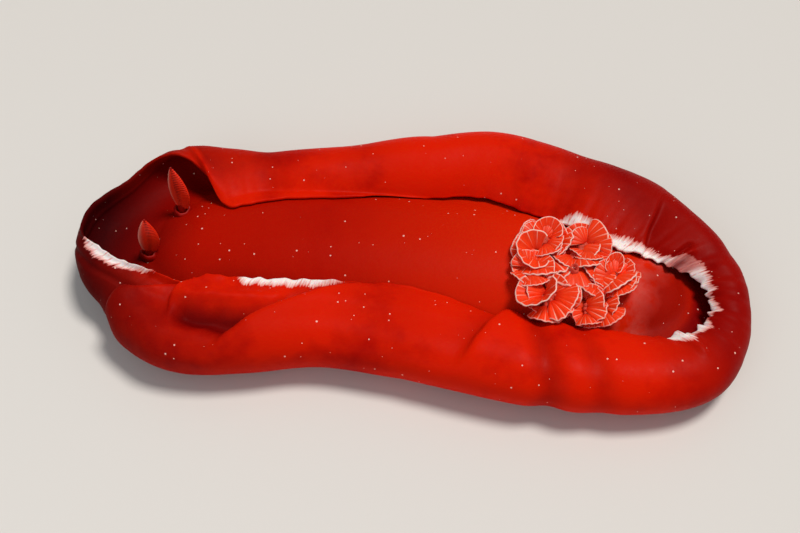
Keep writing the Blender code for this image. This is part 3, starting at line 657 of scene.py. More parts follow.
# soft steps of the looks: what each follows, from where to where, and its strength at both ends;
# fromEdge and inside are in mm, x, rear and end in metres, and backOrSole is 1 on the back, -1 below
fleshSteps = {
    "warmer": ("drift", 0.40, 0.66, 0.0, 1.0),
    "deeper": ("drift", 0.28, 0.52, 0.16, 0.0),
    "lined": ("fromEdge", -6.0, -1.0, 0.85, 0.0),
    # painted shade: how darkly the folds, valleys and dents are shaded
    "foldShaded": ("hollow", 0.05, 1.0, 0.0, 0.9),
    "onBack": ("backOrSole", 0.0, 0.8, 0.0, 1.0),
    "offBack": ("backOrSole", 0.0, 0.8, 1.0, 0.0),
    "onSole": ("backOrSole", -1.0, -0.4, 0.8, 0.0),
    # painted light on the hump's top, growing towards the tail
    "humpLightRamp": ("x", -0.03, 0.04, 0.2, 1.0),
    # painted shade in the bowl by the head and on its outer wall
    "inBowl": ("x", -0.112, -0.074, 1.0, 0.0),
    "headWall": ("x", -0.108, 0.0, 1.0, 0.0),
    "pastBowl": ("x", -0.094, -0.082, 0.0, 1.0),
    "nearEdge": ("fromEdge", 6.0, 18.0, 0.85, 0.0),
    "outside": ("fromEdge", -1.0, 1.0, 0.0, 1.0),
    # painted shade towards the tail and at the end of the hump
    "tailShade": ("rear", 0.060, 0.092, 0.0, 0.8),
    "humpEndShade": ("end", 0.098, 0.108, 0.0, 0.7),
    # painted sheen on the end of the hump
    "sheenStart": ("end", 0.090, 0.101, 0.0, 1.0),
    "sheenStop": ("end", 0.101, 0.108, 1.0, 0.0),
    "sheenGrain": ("fine", 0.35, 0.65, 0.0, 1.0),
    "sheenBack": ("backOrSole", 0.2, 0.8, 0.0, 0.2),
    "bandInner": ("inside", -0.15, 0.35, 0.0, 1.0),
    "bandOuter": ("fromEdge", -0.5, 0.0, 0.0, 1.0),
    "bandDepth": ("inside", 0.3, 2.4, 0.0, 1.0),
    "bandFibre": ("fibres", 0.28, 0.42, 0.0, 1.0),
    "bandBody": ("bandDense", 0.5, 0.85, 0.15, 1.0),
    "bandGaps": ("fibres", 0.35, 0.65, 0.9, 0.6),
    "fleckSize": ("cell", 0.45, 1.0, 0.03, 0.12),
    "shine": ("grain", 0.3, 0.7, 0.36, 0.5),
}
# the chalk-white border comes and goes along the edge: angle, how far it reaches in mm, how dense
bandReach = (
    (0, 2.8, 1), (5, 4.6, 0.95), (9, 6.0, 0.8), (12, 7.6, 0.3), (17, 7.2, 0.3), (20, 4.6, 0.9),
    (24, 3.4, 1), (32, 4.6, 1), (38, 6.2, 1), (44, 5.4, 1), (52, 5.8, 1), (57, 4.8, 1), (60, 3.0, 1),
    (62, 1.0, 1), (63.5, -1.5, 1), (66, -6.0, 1), (180, -6.0, 1), (186, -1.0, 0.9), (189, 2.6, 0.95),
    (195, 4.4, 0.95), (203, 3.2, 0.9), (209, 1.4, 0.8), (213, -1.0, 0.8), (217, -6.0, 1),
    (236, -6.0, 1), (240, -1.0, 1), (242, 2.2, 1), (250, 3.2, 0.95), (257, 2.8, 0.9), (261, 1.2, 1),
    (264, -1.0, 1), (268, -6.0, 1), (320, -6.0, 1), (325, -1.0, 1), (327.5, 3.0, 1), (329.5, 7.5, 1),
    (331.5, 7.0, 1), (334.5, 3.0, 1), (337, 1.0, 1), (340, 4.6, 1), (343.5, 3.8, 1), (346, -0.4, 1),
    (348, 0.2, 1), (351, 4.2, 1), (354, 3.2, 1), (357, 0.6, 1), (360, 2.8, 1),
)


def fleshMaterial():
    # living flesh, smooth and wet: a saturated red with soft depth, and a chalk-white torn border
    material, tree = newMaterial("wetScarletFlesh")
    place = addNode(tree, "ShaderNodeTexCoord").outputs["Object"]
    spot = addNode(tree, "ShaderNodeSeparateXYZ", [place]).outputs
    seen = {"x": spot["X"]}
    for label in ("fromEdge", "around", "bandWidth", "bandDense", "backOrSole", "hollow"):
        seen[label] = addNode(tree, "ShaderNodeAttribute", attribute_name=label).outputs["Fac"]
    for label, (size, detail, rough) in flesh["grains"].items():
        looks = {"Vector": place, "Scale": 1000 / size, "Detail": detail, "Roughness": rough}
        seen[label] = addNode(tree, "ShaderNodeTexNoise", looks)
    strip = addNode(tree, "ShaderNodeCombineXYZ", (seen["around"], seen["fromEdge"]))
    for label, (stretch, size, detail, rough) in flesh["tears"].items():
        long = addNode(tree, "ShaderNodeVectorMath", (strip, stretch), operation="MULTIPLY")
        looks = {"Vector": long, "Scale": 1 / size, "Detail": detail, "Roughness": rough}
        seen[label] = addNode(tree, "ShaderNodeTexNoise", looks, noise_dimensions="2D")
    # tiny pale flecks scattered over the skin, each of its own size
    cells = addNode(tree, "ShaderNodeTexVoronoi", {"Vector": place, "Scale": 1000 / flesh["fleckMm"]}).outputs
    seen["cell"] = addNode(tree, "ShaderNodeSeparateColor", [cells["Color"]])
    # slow drifts, slanted places towards the tail, and how far inside the torn border a spot lies
    drifts = (seen["fine"], 0.25, seen["mottle"])
    seen["drift"] = addNode(tree, "ShaderNodeMath", drifts, operation="MULTIPLY_ADD")
    seen["rear"] = addNode(tree, "ShaderNodeMath", (spot["Y"], 0.5, seen["x"]), operation="MULTIPLY_ADD")
    end = addNode(tree, "ShaderNodeMath", (seen["drift"], 0.022, seen["x"]), operation="MULTIPLY_ADD")
    seen["end"] = addNode(tree, "ShaderNodeMath", (spot["Y"], -0.35, end), operation="MULTIPLY_ADD")
    torn = addNode(tree, "ShaderNodeMath", (seen["fibres"], seen["patches"]), operation="ADD")
    ragged = (torn, flesh["raggedMm"], -flesh["raggedMm"])
    torn = addNode(tree, "ShaderNodeMath", ragged, operation="MULTIPLY_ADD")
    reach = addNode(tree, "ShaderNodeMath", (seen["bandWidth"], torn), operation="ADD")
    seen["inside"] = addNode(tree, "ShaderNodeMath", (reach, seen["fromEdge"]), operation="SUBTRACT")
    soft = {}
    for label, (source, *limits) in fleshSteps.items():
        soft[label] = addNode(tree, "ShaderNodeMapRange", (seen[source], *limits))
    # painted light: the top of the hump is lighter, the more so towards the tail
    paintedHumpLight = addNode(tree, "ShaderNodeMath", (soft["onBack"], soft["humpLightRamp"]), operation="MULTIPLY")
    # painted shade: the bowl by the head is darkened inside, and its outer wall is darkened towards the head
    # but for the edge
    outer = addNode(tree, "ShaderNodeMath", (soft["headWall"], 2.0), operation="POWER")
    outer = addNode(tree, "ShaderNodeMath", (outer, 0.92), operation="MULTIPLY")
    bright = addNode(tree, "ShaderNodeMath", (soft["nearEdge"], soft["pastBowl"]), operation="MULTIPLY")
    dull = addNode(tree, "ShaderNodeMath", (1.0, bright), operation="SUBTRACT")
    outer = addNode(tree, "ShaderNodeMath", (outer, dull), operation="MULTIPLY")
    outer = addNode(tree, "ShaderNodeMath", (soft["outside"], outer), operation="MULTIPLY")
    within = addNode(tree, "ShaderNodeMath", (1.0, soft["outside"]), operation="SUBTRACT")
    inner = addNode(tree, "ShaderNodeMath", (within, soft["inBowl"]), operation="MULTIPLY")
    paintedBowlShade = addNode(tree, "ShaderNodeMath", (outer, inner), operation="ADD")
    # painted shade darkens the mantle towards the tail and where the hump ends, and a painted sheen lies on the
    # end of the hump
    rear = addNode(tree, "ShaderNodeMath", (soft["tailShade"], soft["offBack"]), operation="MULTIPLY")
    end = addNode(tree, "ShaderNodeMath", (soft["humpEndShade"], soft["onBack"]), operation="MULTIPLY")
    rear = addNode(tree, "ShaderNodeMath", (rear, end), operation="MAXIMUM")
    paintedSheen = addNode(tree, "ShaderNodeMath", (soft["sheenStart"], soft["sheenStop"]), operation="MULTIPLY")
    paintedSheen = addNode(tree, "ShaderNodeMath", (paintedSheen, soft["sheenGrain"]), operation="MULTIPLY")
    paintedSheen = addNode(tree, "ShaderNodeMath", (paintedSheen, soft["sheenBack"]), operation="MULTIPLY")
    # the torn white border blushes where it is thin
    band = addNode(tree, "ShaderNodeMath", (soft["bandInner"], soft["bandOuter"]), operation="MULTIPLY")
    chalk = addNode(tree, "ShaderNodeMath", (soft["bandDepth"], soft["bandFibre"]), operation="MULTIPLY")
    chalk = addNode(tree, "ShaderNodeMath", (chalk, soft["bandBody"]), operation="MULTIPLY")
    shades = {label: hexColour(code) for label, code in flesh.items() if isinstance(code, str)}
    looks = {"Factor": chalk, "A": shades["blushAndSheen"], "B": shades["band"]}
    shades["torn"] = addNode(tree, "ShaderNodeMix", looks, data_type="RGBA")
    thin = addNode(tree, "ShaderNodeMath", (1.0, seen["bandDense"]), operation="SUBTRACT")
    veil = addNode(tree, "ShaderNodeMath", (thin, soft["bandGaps"]), operation="MULTIPLY")
    veil = addNode(tree, "ShaderNodeMath", (band, veil), operation="MULTIPLY")
    band = addNode(tree, "ShaderNodeMath", (band, veil), operation="SUBTRACT")
    fleck = addNode(tree, "ShaderNodeMath", (cells["Distance"], soft["fleckSize"]), operation="LESS_THAN")
    fleck = addNode(tree, "ShaderNodeMath", (fleck, flesh["fleckStrength"]), operation="MULTIPLY")
    # colours laid in turn; among them the fold shade, bowl shade and tail shade are painted shade, and the
    # hump's light and the sheen are painted light
    layers = (
        (soft["warmer"], "warm"), (soft["deeper"], "deep"), (soft["lined"], "lining"),
        (soft["foldShaded"], "foldShade"), (paintedHumpLight, "paintedHumpLight"), (paintedBowlShade, "bowlShade"), (rear, "deep"), (paintedSheen, "blushAndSheen"),
        (soft["onSole"], "sole"), (band, "torn"), (fleck, "fleck"),
    )
    colour = shades["red"]
    for factor, shade in layers:
        looks = {"Factor": factor, "A": colour, "B": shades[shade]}
        colour = addNode(tree, "ShaderNodeMix", looks, data_type="RGBA")
    height = addNode(tree, "ShaderNodeMath", (seen["broad"], 2.2, seen["grain"]), operation="MULTIPLY_ADD")
    looks = {"Height": height, "Distance": flesh["bumpMm"] * mm, "Strength": 0.3}
    bump = addNode(tree, "ShaderNodeBump", looks)
    duller = addNode(tree, "ShaderNodeMath", (paintedBowlShade, 0.25), operation="MULTIPLY")
    looks = {
        "Base Color": colour,
        "Roughness": addNode(tree, "ShaderNodeMath", (soft["shine"], duller), operation="ADD"),
        "Normal": bump,
        "IOR": 1.38,
        "Specular IOR Level": 0.05,
        "Subsurface Weight": 0.18,
        "Subsurface Radius": (1.0, 0.10, 0.05),
        "Subsurface Scale": 2.2 * mm,
    }
    shader = addNode(tree, "ShaderNodeBsdfPrincipled", looks)
    addNode(tree, "ShaderNodeOutputMaterial", {"Surface": shader})
    return material


def makeSkin(material):
    angles, grid, around = skinSurface()
    columns, rows = grid.shape[:2]
    at, width, dense = np.array(bandReach, float).T
    alongEdge = (around, np.interp(angles, at, width), np.interp(angles, at, dense))
    values = {"fromEdge": grid[..., 3], "backOrSole": grid[..., 4], "hollow": grid[..., 5]}
    for label, numbers in zip(("around", "bandWidth", "bandDense"), alongEdge):
        values[label] = np.repeat(numbers[:, None], rows, 1)
    faces = []
    for i in range(columns):
        a, b = i * rows, (i + 1) % columns * rows
        faces += [(a + j, a + j + 1, b + j + 1, b + j) for j in range(rows - 1)]
    mesh = newMesh("skin", toMetres(grid[..., :3].reshape(-1, 3)), faces, values)
    turnOutwards(mesh, 0.01)
    names = [n for n in frame["nodes"] if n.startswith("mantle_")]
    names += ["head", "back_front", "back_rear", "tail", "foot"]
    finishPiece("skin", mesh, material, "mantle_flesh", *names)


# each kind of leaf is part of a cone: how wide the cone opens, how far round it goes, how its rim
# curls, and its ribs with the depth of their pleats; all for a leaf of length 1
gills = {
    "trumpet": {"apex": 44.0, "wrap": 132.0, "curl": -0.04, "ribs": 8, "pleat": 0.020},
    "shell": {"apex": 64.0, "wrap": 80.0, "curl": 0.20, "ribs": 8, "pleat": 0.018},
    "fan": {"apex": 74.0, "wrap": 62.0, "curl": 0.16, "ribs": 6, "pleat": 0.018},
    "fold": {"apex": 62.0, "wrap": 56.0, "curl": 0.26, "ribs": 4, "pleat": 0.040},
    "crinkle": {"apex": 70.0, "wrap": 72.0, "curl": 0.12, "ribs": 5, "pleat": 0.045},
    "around": 44,
    "out": 14,
    "thick": 0.040,
    "rimThick": 0.038,
    "swell": 1.13,
    "round": 0.14,
    "notch": 0.02,
    "lobe": 0.05,
    "sideRim": 0.985,
}
gillShapes = ("trumpet", "shell", "fan", "fold", "crinkle")
skirt = {
    "count": 5, "height": 3.2, "long": 4.8, "rise": 3.0, "spread": 1.4, "wide": 1.15,
    "kinds": ("fan", "shell", "fan"),
}
stalk = {"sunk": 1.0, "tall": 4.2, "lean": 0.4, "radii": (2.6, 2.0, 1.7), "branch": (1.5, 1.1, 0.75, 0.5)}
# each plume's foot, and its leaves: root, middle of the rim, kind, width for its length, and degrees
# turned about its own middle line
plumes = {
    "gill_1": {
        "foot": (49.0, 8.0),
        "leaves": (
            ((50.6, 10.6, 20.6), (49.6, 15.6, 25.4), "trumpet", 0.9, 0),
            ((50.6, 11.0, 20.2), (54.4, 13.2, 25.0), "shell", 1.0, 20),
            ((47.2, 10.4, 20.0), (43.3, 12.6, 25.0), "fan", 1.0, 0),
            ((52.6, 9.6, 19.6), (57.6, 9.8, 24.8), "crinkle", 1.0, -10),
            ((48.6, 9.6, 19.4), (46.6, 14.8, 22.2), "fan", 1.0, 0),
            ((51.6, 8.4, 20.0), (55.6, 5.6, 24.6), "shell", 0.9, 0),
        ),
    },
    "gill_2": {
        "foot": (45.5, -4.5),
        "leaves": (
            ((47.2, 3.4, 20.6), (40.8, 1.0, 26.0), "trumpet", 1.0, -20),
            ((48.2, 1.8, 20.6), (47.6, -5.4, 25.6), "shell", 1.15, 10),
            ((50.4, 2.8, 20.6), (52.6, -4.6, 25.2), "fold", 1.1, 10),
            ((46.4, 4.4, 20.0), (41.4, 7.6, 24.6), "fan", 1.1, 0),
            ((45.6, -1.6, 19.0), (40.6, -4.6, 22.4), "fan", 1.0, 0),
            ((50.2, 5.6, 21.0), (54.2, 6.0, 25.0), "crinkle", 1.0, 0),
            ((50.8, -0.4, 20.0), (56.6, -4.2, 24.6), "shell", 1.0, 0),
        ),
    },
    "gill_3": {
        "foot": (52.5, -15.0),
        "leaves": (
            ((50.4, -13.4, 20.4), (46.6, -20.6, 25.4), "trumpet", 0.95, 30),
            ((51.4, -12.4, 20.4), (46.4, -12.6, 24.8), "shell", 1.0, -10),
            ((52.8, -14.6, 20.2), (56.8, -20.4, 24.2), "fold", 1.0, 0),
            ((54.0, -12.6, 20.2), (59.6, -14.8, 24.8), "shell", 1.1, 10),
            ((52.8, -11.6, 19.6), (54.8, -7.6, 24.0), "fan", 1.1, 0),
            ((51.6, -16.0, 19.0), (51.4, -22.8, 22.2), "fan", 1.0, 0),
            ((55.2, -11.6, 19.6), (60.8, -9.4, 23.6), "shell", 1.1, 0),
        ),
    },
    "gill_4": {
        "foot": (67.5, -15.0),
        "leaves": (
            ((64.8, -14.4, 19.0), (69.0, -13.0, 23.4), "fan", 1.1, 0),
            ((64.6, -15.8, 18.8), (69.8, -17.4, 23.0), "fold", 1.0, 0),
            ((65.0, -17.2, 18.4), (66.6, -22.0, 21.6), "fan", 1.0, 0),
            ((70.6, -15.0, 18.8), (75.0, -18.8, 22.6), "shell", 1.0, 0),
            ((70.6, -14.2, 18.6), (74.2, -14.6, 23.0), "crinkle", 1.0, 0),
            ((66.4, -12.8, 18.6), (66.6, -8.8, 22.4), "fan", 1.1, 0),
        ),
    },
    "gill_5": {
        "foot": (74.5, -3.5),
        "leaves": (
            ((72.4, -1.6, 19.0), (77.6, -4.0, 24.8), "shell", 1.25, -20),
            ((73.8, 0.8, 18.8), (74.6, 4.8, 23.6), "trumpet", 0.6, 0),
            ((76.4, -1.0, 18.2), (80.8, -3.8, 22.0), "crinkle", 1.0, 0),
            ((76.0, 0.8, 18.2), (79.4, 2.0, 22.4), "crinkle", 0.9, 0),
            ((71.0, -3.6, 18.4), (75.2, -8.0, 21.8), "fold", 1.0, 0),
            ((70.4, -2.0, 18.6), (68.8, -6.0, 22.2), "fan", 1.0, 0),
            ((70.2, 0.2, 19.2), (66.0, -2.4, 23.6), "shell", 1.1, 0),
            ((67.0, -1.6, 18.8), (72.6, -4.6, 22.6), "fan", 1.1, 0),
            ((69.0, -4.6, 19.0), (65.4, -9.2, 23.2), "shell", 1.1, 0),
        ),
    },
    "gill_6": {
        "foot": (65.0, 8.5),
        "leaves": (
            ((62.2, 12.0, 19.2), (60.2, 15.8, 23.0), "fan", 1.3, 0),
            ((63.4, 11.4, 20.0), (69.6, 12.0, 24.8), "fan", 1.15, 20),
            ((61.2, 8.8, 20.2), (65.4, 4.6, 24.8), "shell", 1.0, 10),
            ((64.8, 8.0, 19.6), (70.6, 6.8, 23.6), "fold", 1.0, 0),
            ((59.0, 2.6, 20.8), (60.4, -7.6, 24.8), "shell", 1.1, -10),
            ((62.4, 5.6, 21.0), (64.6, -0.6, 25.0), "fan", 1.1, 0),
            ((65.4, 3.6, 18.8), (70.4, 2.6, 23.0), "fan", 1.1, 0),
            ((59.4, 4.4, 20.6), (56.2, 0.2, 25.0), "shell", 1.0, 0),
        ),
    },
}


# one leaf of length 1 along X, as points and the numbers that its thickness and pattern need
def leafGrid(kind):
    sizes = gills[kind]
    apex = math.radians(sizes["apex"])
    turn = np.radians(sizes["wrap"]) * np.linspace(-1, 1, gills["around"])[:, None]
    out = np.linspace(0.05, 1.0, gills["out"])[None, :] ** 0.9
    share = turn / abs(turn[0, 0])
    notches = gills["notch"] * np.cos(7.5 * share + sizes["ribs"])
    length = out * (1 - gills["round"] * np.abs(share) ** 3 + notches)
    axis = np.array([math.cos(apex), 0, math.sin(apex)])
    first = np.array([math.sin(apex), 0, -math.cos(apex)])
    second = np.array([0, 1.0, 0])
    ring = np.cos(turn)[..., None] * first + np.sin(turn)[..., None] * second
    spot = length[..., None] * (math.cos(apex) * axis + math.sin(apex) * ring)
    normal = math.sin(apex) * axis - math.cos(apex) * ring
    rib = np.cos(math.pi * sizes["ribs"] * share + 0.6 * np.sin(2.0 * share))
    rise = sizes["curl"] * length**2.2 + sizes["pleat"] * rib * length**1.3
    rise = rise + gills["lobe"] * np.sin(4.4 * share + 1.7 * sizes["ribs"]) * out**1.8
    spot = spot + normal * rise[..., None]
    return spot, normal, *np.broadcast_arrays(rib, out, share)


def leafMesh(kind):
    spot, normal, rib, out, share = leafGrid(kind)
    edge = np.clip((1 - np.abs(share)) / 0.12, 0.25, 1) * np.clip(out / 0.2, 0.5, 1)
    thick = (gills["thick"] + (gills["rimThick"] - gills["thick"]) * out**6) * np.sqrt(edge)
    half = normal * thick[..., None] / 2
    points = np.concatenate([(spot + half).reshape(-1, 3), (spot - half).reshape(-1, 3)])
    rim = np.where(np.abs(share) > gills["sideRim"], 0.55 + 0.45 * out, out)
    values = {"rib": np.tile(rib.reshape(-1), 2), "rim": np.tile(rim.reshape(-1), 2)}
    mesh = newMesh("leaf_" + kind, points, sheetFaces(*out.shape), values)
    turnOutwards(mesh)
    return mesh


# the tree sets a chosen leaf on every point, turned and sized by the point's own numbers
def leafTree():
    tree = bpy.data.node_groups.new("leavesOnPoints", "GeometryNodeTree")
    sockets = (
        ("Geometry", "INPUT", "Geometry"), ("Leaves", "INPUT", "Collection"), ("Leaf Scale", "INPUT", "Float"),
        ("Material", "INPUT", "Material"), ("Geometry", "OUTPUT", "Geometry"),
    )
    for name, way, kind in sockets:
        tree.interface.new_socket(name=name, in_out=way, socket_type="NodeSocket" + kind)
    given = addNode(tree, "NodeGroupInput").outputs
    leaves = {"Collection": given["Leaves"], "Separate Children": True, "Reset Children": True}
    own = {}
    for label, kind in (("kind", "INT"), ("turn", "FLOAT_VECTOR"), ("size", "FLOAT_VECTOR")):
        own[label] = addNode(tree, "GeometryNodeInputNamedAttribute", {"Name": label}, data_type=kind)
    scale = {0: own["size"], "Scale": given["Leaf Scale"]}
    places = {
        "Points": given["Geometry"],
        "Instance": addNode(tree, "GeometryNodeCollectionInfo", leaves),
        "Pick Instance": True,
        "Instance Index": own["kind"],
        "Rotation": own["turn"],
        "Scale": addNode(tree, "ShaderNodeVectorMath", scale, operation="SCALE"),
    }
    placed = addNode(tree, "GeometryNodeInstanceOnPoints", places)
    whole = addNode(tree, "GeometryNodeRealizeInstances", [placed])
    dressed = addNode(tree, "GeometryNodeSetMaterial", {"Geometry": whole, "Material": given["Material"]})
    addNode(tree, "NodeGroupOutput", [dressed])
    return tree


# runs the tree on points that carry each leaf's turn, size and kind, and gives back the plain mesh
def growLeaves(tree, meshes, material, roots, turns, sizes, kinds):
    store = bpy.data.collections.new("leafShapes")
    for order, mesh in enumerate(meshes):
        store.objects.link(bpy.data.objects.new(f"{order}_{mesh.name}", mesh))
    points = newMesh("leafRoots", toMetres(roots), [], {})
    for label, numbers in (("turn", turns), ("size", sizes)):
        points.attributes.new(label, "FLOAT_VECTOR", "POINT").data.foreach_set("vector", np.ravel(numbers))
    points.attributes.new("kind", "INT", "POINT").data.foreach_set("value", kinds)
    thing = bpy.data.objects.new("leafRoots", points)
    bpy.context.collection.objects.link(thing)
    modifier = thing.modifiers.new("grow", "NODES")
    modifier.node_group = tree
    values = {"Leaves": store, "Leaf Scale": 1.0, "Material": material}
    for item in tree.interface.items_tree:
        if item.in_out == "INPUT" and item.name in values:
            modifier[item.identifier] = values[item.name]
    state = bpy.context.evaluated_depsgraph_get()
    mesh = bpy.data.meshes.new_from_object(thing.evaluated_get(state))
    thing.modifiers.clear()
    for spent in (thing, *store.objects):
        bpy.data.objects.remove(spent, do_unlink=True)
    bpy.data.collections.remove(store)
    return mesh


# the turn that lays a leaf's length from root to rim with its hollow side up, then rolls it over
def leafTurn(root, rim, roll):
    along = (Vector(rim) - Vector(root)).normalized()
    side = Vector((0, 0, 1)).cross(along).normalized()
    basis = Matrix((along, side, along.cross(side))).transposed()
    return (basis @ Matrix.Rotation(math.radians(roll), 3, "X")).to_euler()[:]


# the lower leaves that hang round a plume, as even as petals but for a small sway
def skirtLeaves(footX, footY):
    leaves = []
    for k in range(skirt["count"]):
        angle = 2 * math.pi * (k + 0.3 * math.sin(footX + 2 * k)) / skirt["count"]
        out = np.array([math.cos(angle), math.sin(angle), 0.0])
        root = onBack((footX, footY), skirt["height"] + 0.6 * math.sin(3 * k + footY)) + skirt["spread"] * out
        long = skirt["long"] * (1 + 0.12 * math.sin(5 * k + footX))
        rim = root + long * out + [0, 0, skirt["rise"]]
        leaves.append((root, rim, skirt["kinds"][k % 3], skirt["wide"], 0))
    return leaves


def makeGills(material, tree):
    meshes = [leafMesh(kind) for kind in gillShapes]
    for name, plume in plumes.items():
        leaves = list(plume["leaves"]) + skirtLeaves(*plume["foot"])
        turns, sizes = [], []
        for root, rim, kind, wide, roll in leaves:
            # trumpets open upwards, and the other leaves arch over like shells, with their ribs on top
            turns.append(leafTurn(root, rim, roll + (0 if kind == "trumpet" else 180)))
            long = (Vector(rim) - Vector(root)).length * gills["swell"] * mm
            sizes.append((long, long * wide, long))
        kinds = [gillShapes.index(leaf[2]) for leaf in leaves]
        mesh = growLeaves(tree, meshes, material, [leaf[0] for leaf in leaves], turns, sizes, kinds)
        addStalk(mesh, plume)
        finishPiece(name + "_fans", mesh, material, "gill_flesh", name)


# adds the stalk under the leaves and one branch from it to the root of each
def addStalk(mesh, plume):
    shape = bmesh.new()
    shape.from_mesh(mesh)
    foot = onBack(plume["foot"], -stalk["sunk"])
    crown = np.mean([leaf[0] for leaf in plume["leaves"]], axis=0)
    hub = foot + (crown - foot) * stalk["lean"]
    hub[2] = foot[2] + stalk["tall"]
    tube(shape, [foot, foot + [0, 0, 1.5], hub], stalk["radii"])
    for leaf in plume["leaves"]:
        root, rim = np.array(leaf[:2])
        path = [hub - [0, 0, 0.8], hub * 0.45 + root * 0.55, root, root + (rim - root) * 0.12]
        tube(shape, path, stalk["branch"])
    shape.to_mesh(mesh)
    shape.free()


# joins rings of points with faces; a ringed one closes on itself, and any other is capped at both ends
def bridge(shape, rings, ringed=False):
    rings = [[shape.verts.new(spot) for spot in toMetres(ring).tolist()] for ring in rings]
    for low, high in list(zip(rings, rings[1:])) + ([(rings[-1], rings[0])] if ringed else []):
        for k in range(len(low)):
            n = (k + 1) % len(low)
            shape.faces.new((low[k], low[n], high[n], high[k]))
    if not ringed:
        shape.faces.new(list(reversed(rings[0])))
        shape.faces.new(rings[-1])


# a closed round tube along a bent path, smooth between its points
def tube(shape, path, radii, sides=12):
    path = np.array(path)
    fine = np.linspace(0, 1, 5 * (len(path) - 1) + 1)
    coarse = np.linspace(0, 1, len(path))
    line = np.stack([np.interp(fine, coarse, path[:, k]) for k in range(3)], -1)
    for _ in range(2):
        line[1:-1] = (line[:-2] + 2 * line[1:-1] + line[2:]) / 4
    turn = np.linspace(0, 2 * np.pi, sides, endpoint=False)[:, None]
    rings = []
    for spot, ahead, radius in zip(line, np.gradient(line, axis=0), np.interp(fine, coarse, radii)):
        ahead = Vector(ahead).normalized()
        upright = abs(ahead.z) > 0.98
        side = (ahead.orthogonal() if upright else Vector((0, 0, 1)).cross(ahead)).normalized()
        other = ahead.cross(side)
        rings.append(spot + (np.cos(turn) * side[:] + np.sin(turn) * other[:]) * radius)
    bridge(shape, rings)


gillLook = {
    "root": "#cf1a06",
    "flesh": "#f63d12",
    "vein": "#ffab96",
    "rim": "#ffccc0",
    "stalk": "#d8503f",
    "grainMm": 1.6,
    "ribWiden": (0.35, 1.0, 0.0, 0.08),
}
# as for the flesh: rim goes from 0 on the stalk to 1 at a leaf's edge, rib is 1 on a rib, z is in metres
gillSteps = {
    "leaf": ("rim", 0.02, 0.5, 0.0, 1.0),
    "stalk": ("rim", 0.0, 0.02, 1.0, 0.0),
    "veined": ("rim", 0.25, 0.75, 0.0, 1.0),
    "vein": ("ridge", 0.86, 1.0, 0.0, 1.0),
    "edge": ("border", 0.958, 0.99, 0.0, 1.0),
    "high": ("z", 0.0190, 0.0235, 0.3, 1.0),
}


def gillMaterial():
    # thin wet gill leaves: light comes through them, with blood-warm flesh, pale veins and a bright rim
    material, tree = newMaterial("thinGillFlesh")
    place = addNode(tree, "ShaderNodeTexCoord").outputs["Object"]
    seen = {"z": addNode(tree, "ShaderNodeSeparateXYZ", [place]).outputs["Z"]}
    for label in ("rib", "rim"):
        seen[label] = addNode(tree, "ShaderNodeAttribute", attribute_name=label).outputs["Fac"]
    looks = {"Vector": place, "Scale": 1000 / gillLook["grainMm"], "Detail": 2.0}
    grain = addNode(tree, "ShaderNodeTexNoise", looks)
    uneven = addNode(tree, "ShaderNodeMath", (grain, 0.05, -0.025), operation="MULTIPLY_ADD")
    seen["border"] = addNode(tree, "ShaderNodeMath", (seen["rim"], uneven), operation="ADD")
    widen = addNode(tree, "ShaderNodeMapRange", (seen["rim"], *gillLook["ribWiden"]))
    seen["ridge"] = addNode(tree, "ShaderNodeMath", (seen["rib"], widen), operation="ADD")
    soft = {}
    for label, (source, *limits) in gillSteps.items():
        soft[label] = addNode(tree, "ShaderNodeMapRange", (seen[source], *limits))
    vein = addNode(tree, "ShaderNodeMath", (soft["vein"], soft["veined"]), operation="MULTIPLY")
    pale = addNode(tree, "ShaderNodeMath", (soft["edge"], soft["high"]), operation="MULTIPLY")
    colour = hexColour(gillLook["root"])
    for factor, shade in ((soft["leaf"], "flesh"), (soft["stalk"], "stalk"), (vein, "vein"), (pale, "rim")):
        looks = {"Factor": factor, "A": colour, "B": hexColour(gillLook[shade])}
        colour = addNode(tree, "ShaderNodeMix", looks, data_type="RGBA")
    looks = {
        "Base Color": colour,
        "Roughness": 0.42,
        "IOR": 1.38,
        "Specular IOR Level": 0.3,
        "Subsurface Weight": 0.25,
        "Subsurface Radius": (1.0, 0.22, 0.12),
        "Subsurface Scale": 0.8 * mm,
    }
    shader = addNode(tree, "ShaderNodeBsdfPrincipled", looks)
    addNode(tree, "ShaderNodeOutputMaterial", {"Surface": shader})
    return material


# the two feelers: foot on the back, lean of the tip, degrees turned, and height; and what they share
rhinophores = {
    "rhinophore_left": {"foot": (-90.0, -5.2), "lean": (0.6, 2.6, 0.0), "turn": 20.0, "tall": 17.0},
    "rhinophore_right": {"foot": (-82.0, 14.0), "lean": (-2.4, 4.4, 0.0), "turn": -10.0, "tall": 19.5},
}
feeler = {
    "wide": 4.2,
    "flat": 2.0,
    "slope": 0.30,
    "bend": (0.9, -0.4, 0.0),
    "pleats": 24,
    "pleatThick": 0.34,
    "pleatSides": 40,
    "clubFrom": 0.15,
    "clubTo": 0.97,
    "core": 0.9,
    "coreRings": 15,
    "thinnest": 0.25,
    "stemWide": 1.7,
    "sunk": 0.6,
    "red": "#ee2a0a",
    "pale": "#f79a86",
    "sheath": "#9c0a03",
    "driftMm": 3.0,
}
# the low fleshy sheath that a feeler draws back into, as the outline of a ring of flesh
collar = {
    "wide": 3.3,
    "tall": 2.2,
    "outline": (
        (1.0, -1.2), (1.02, 0.2), (0.97, 0.62), (0.86, 0.92), (0.74, 1.0), (0.64, 0.9), (0.58, 0.6),
        (0.56, -1.2),
    ),
}


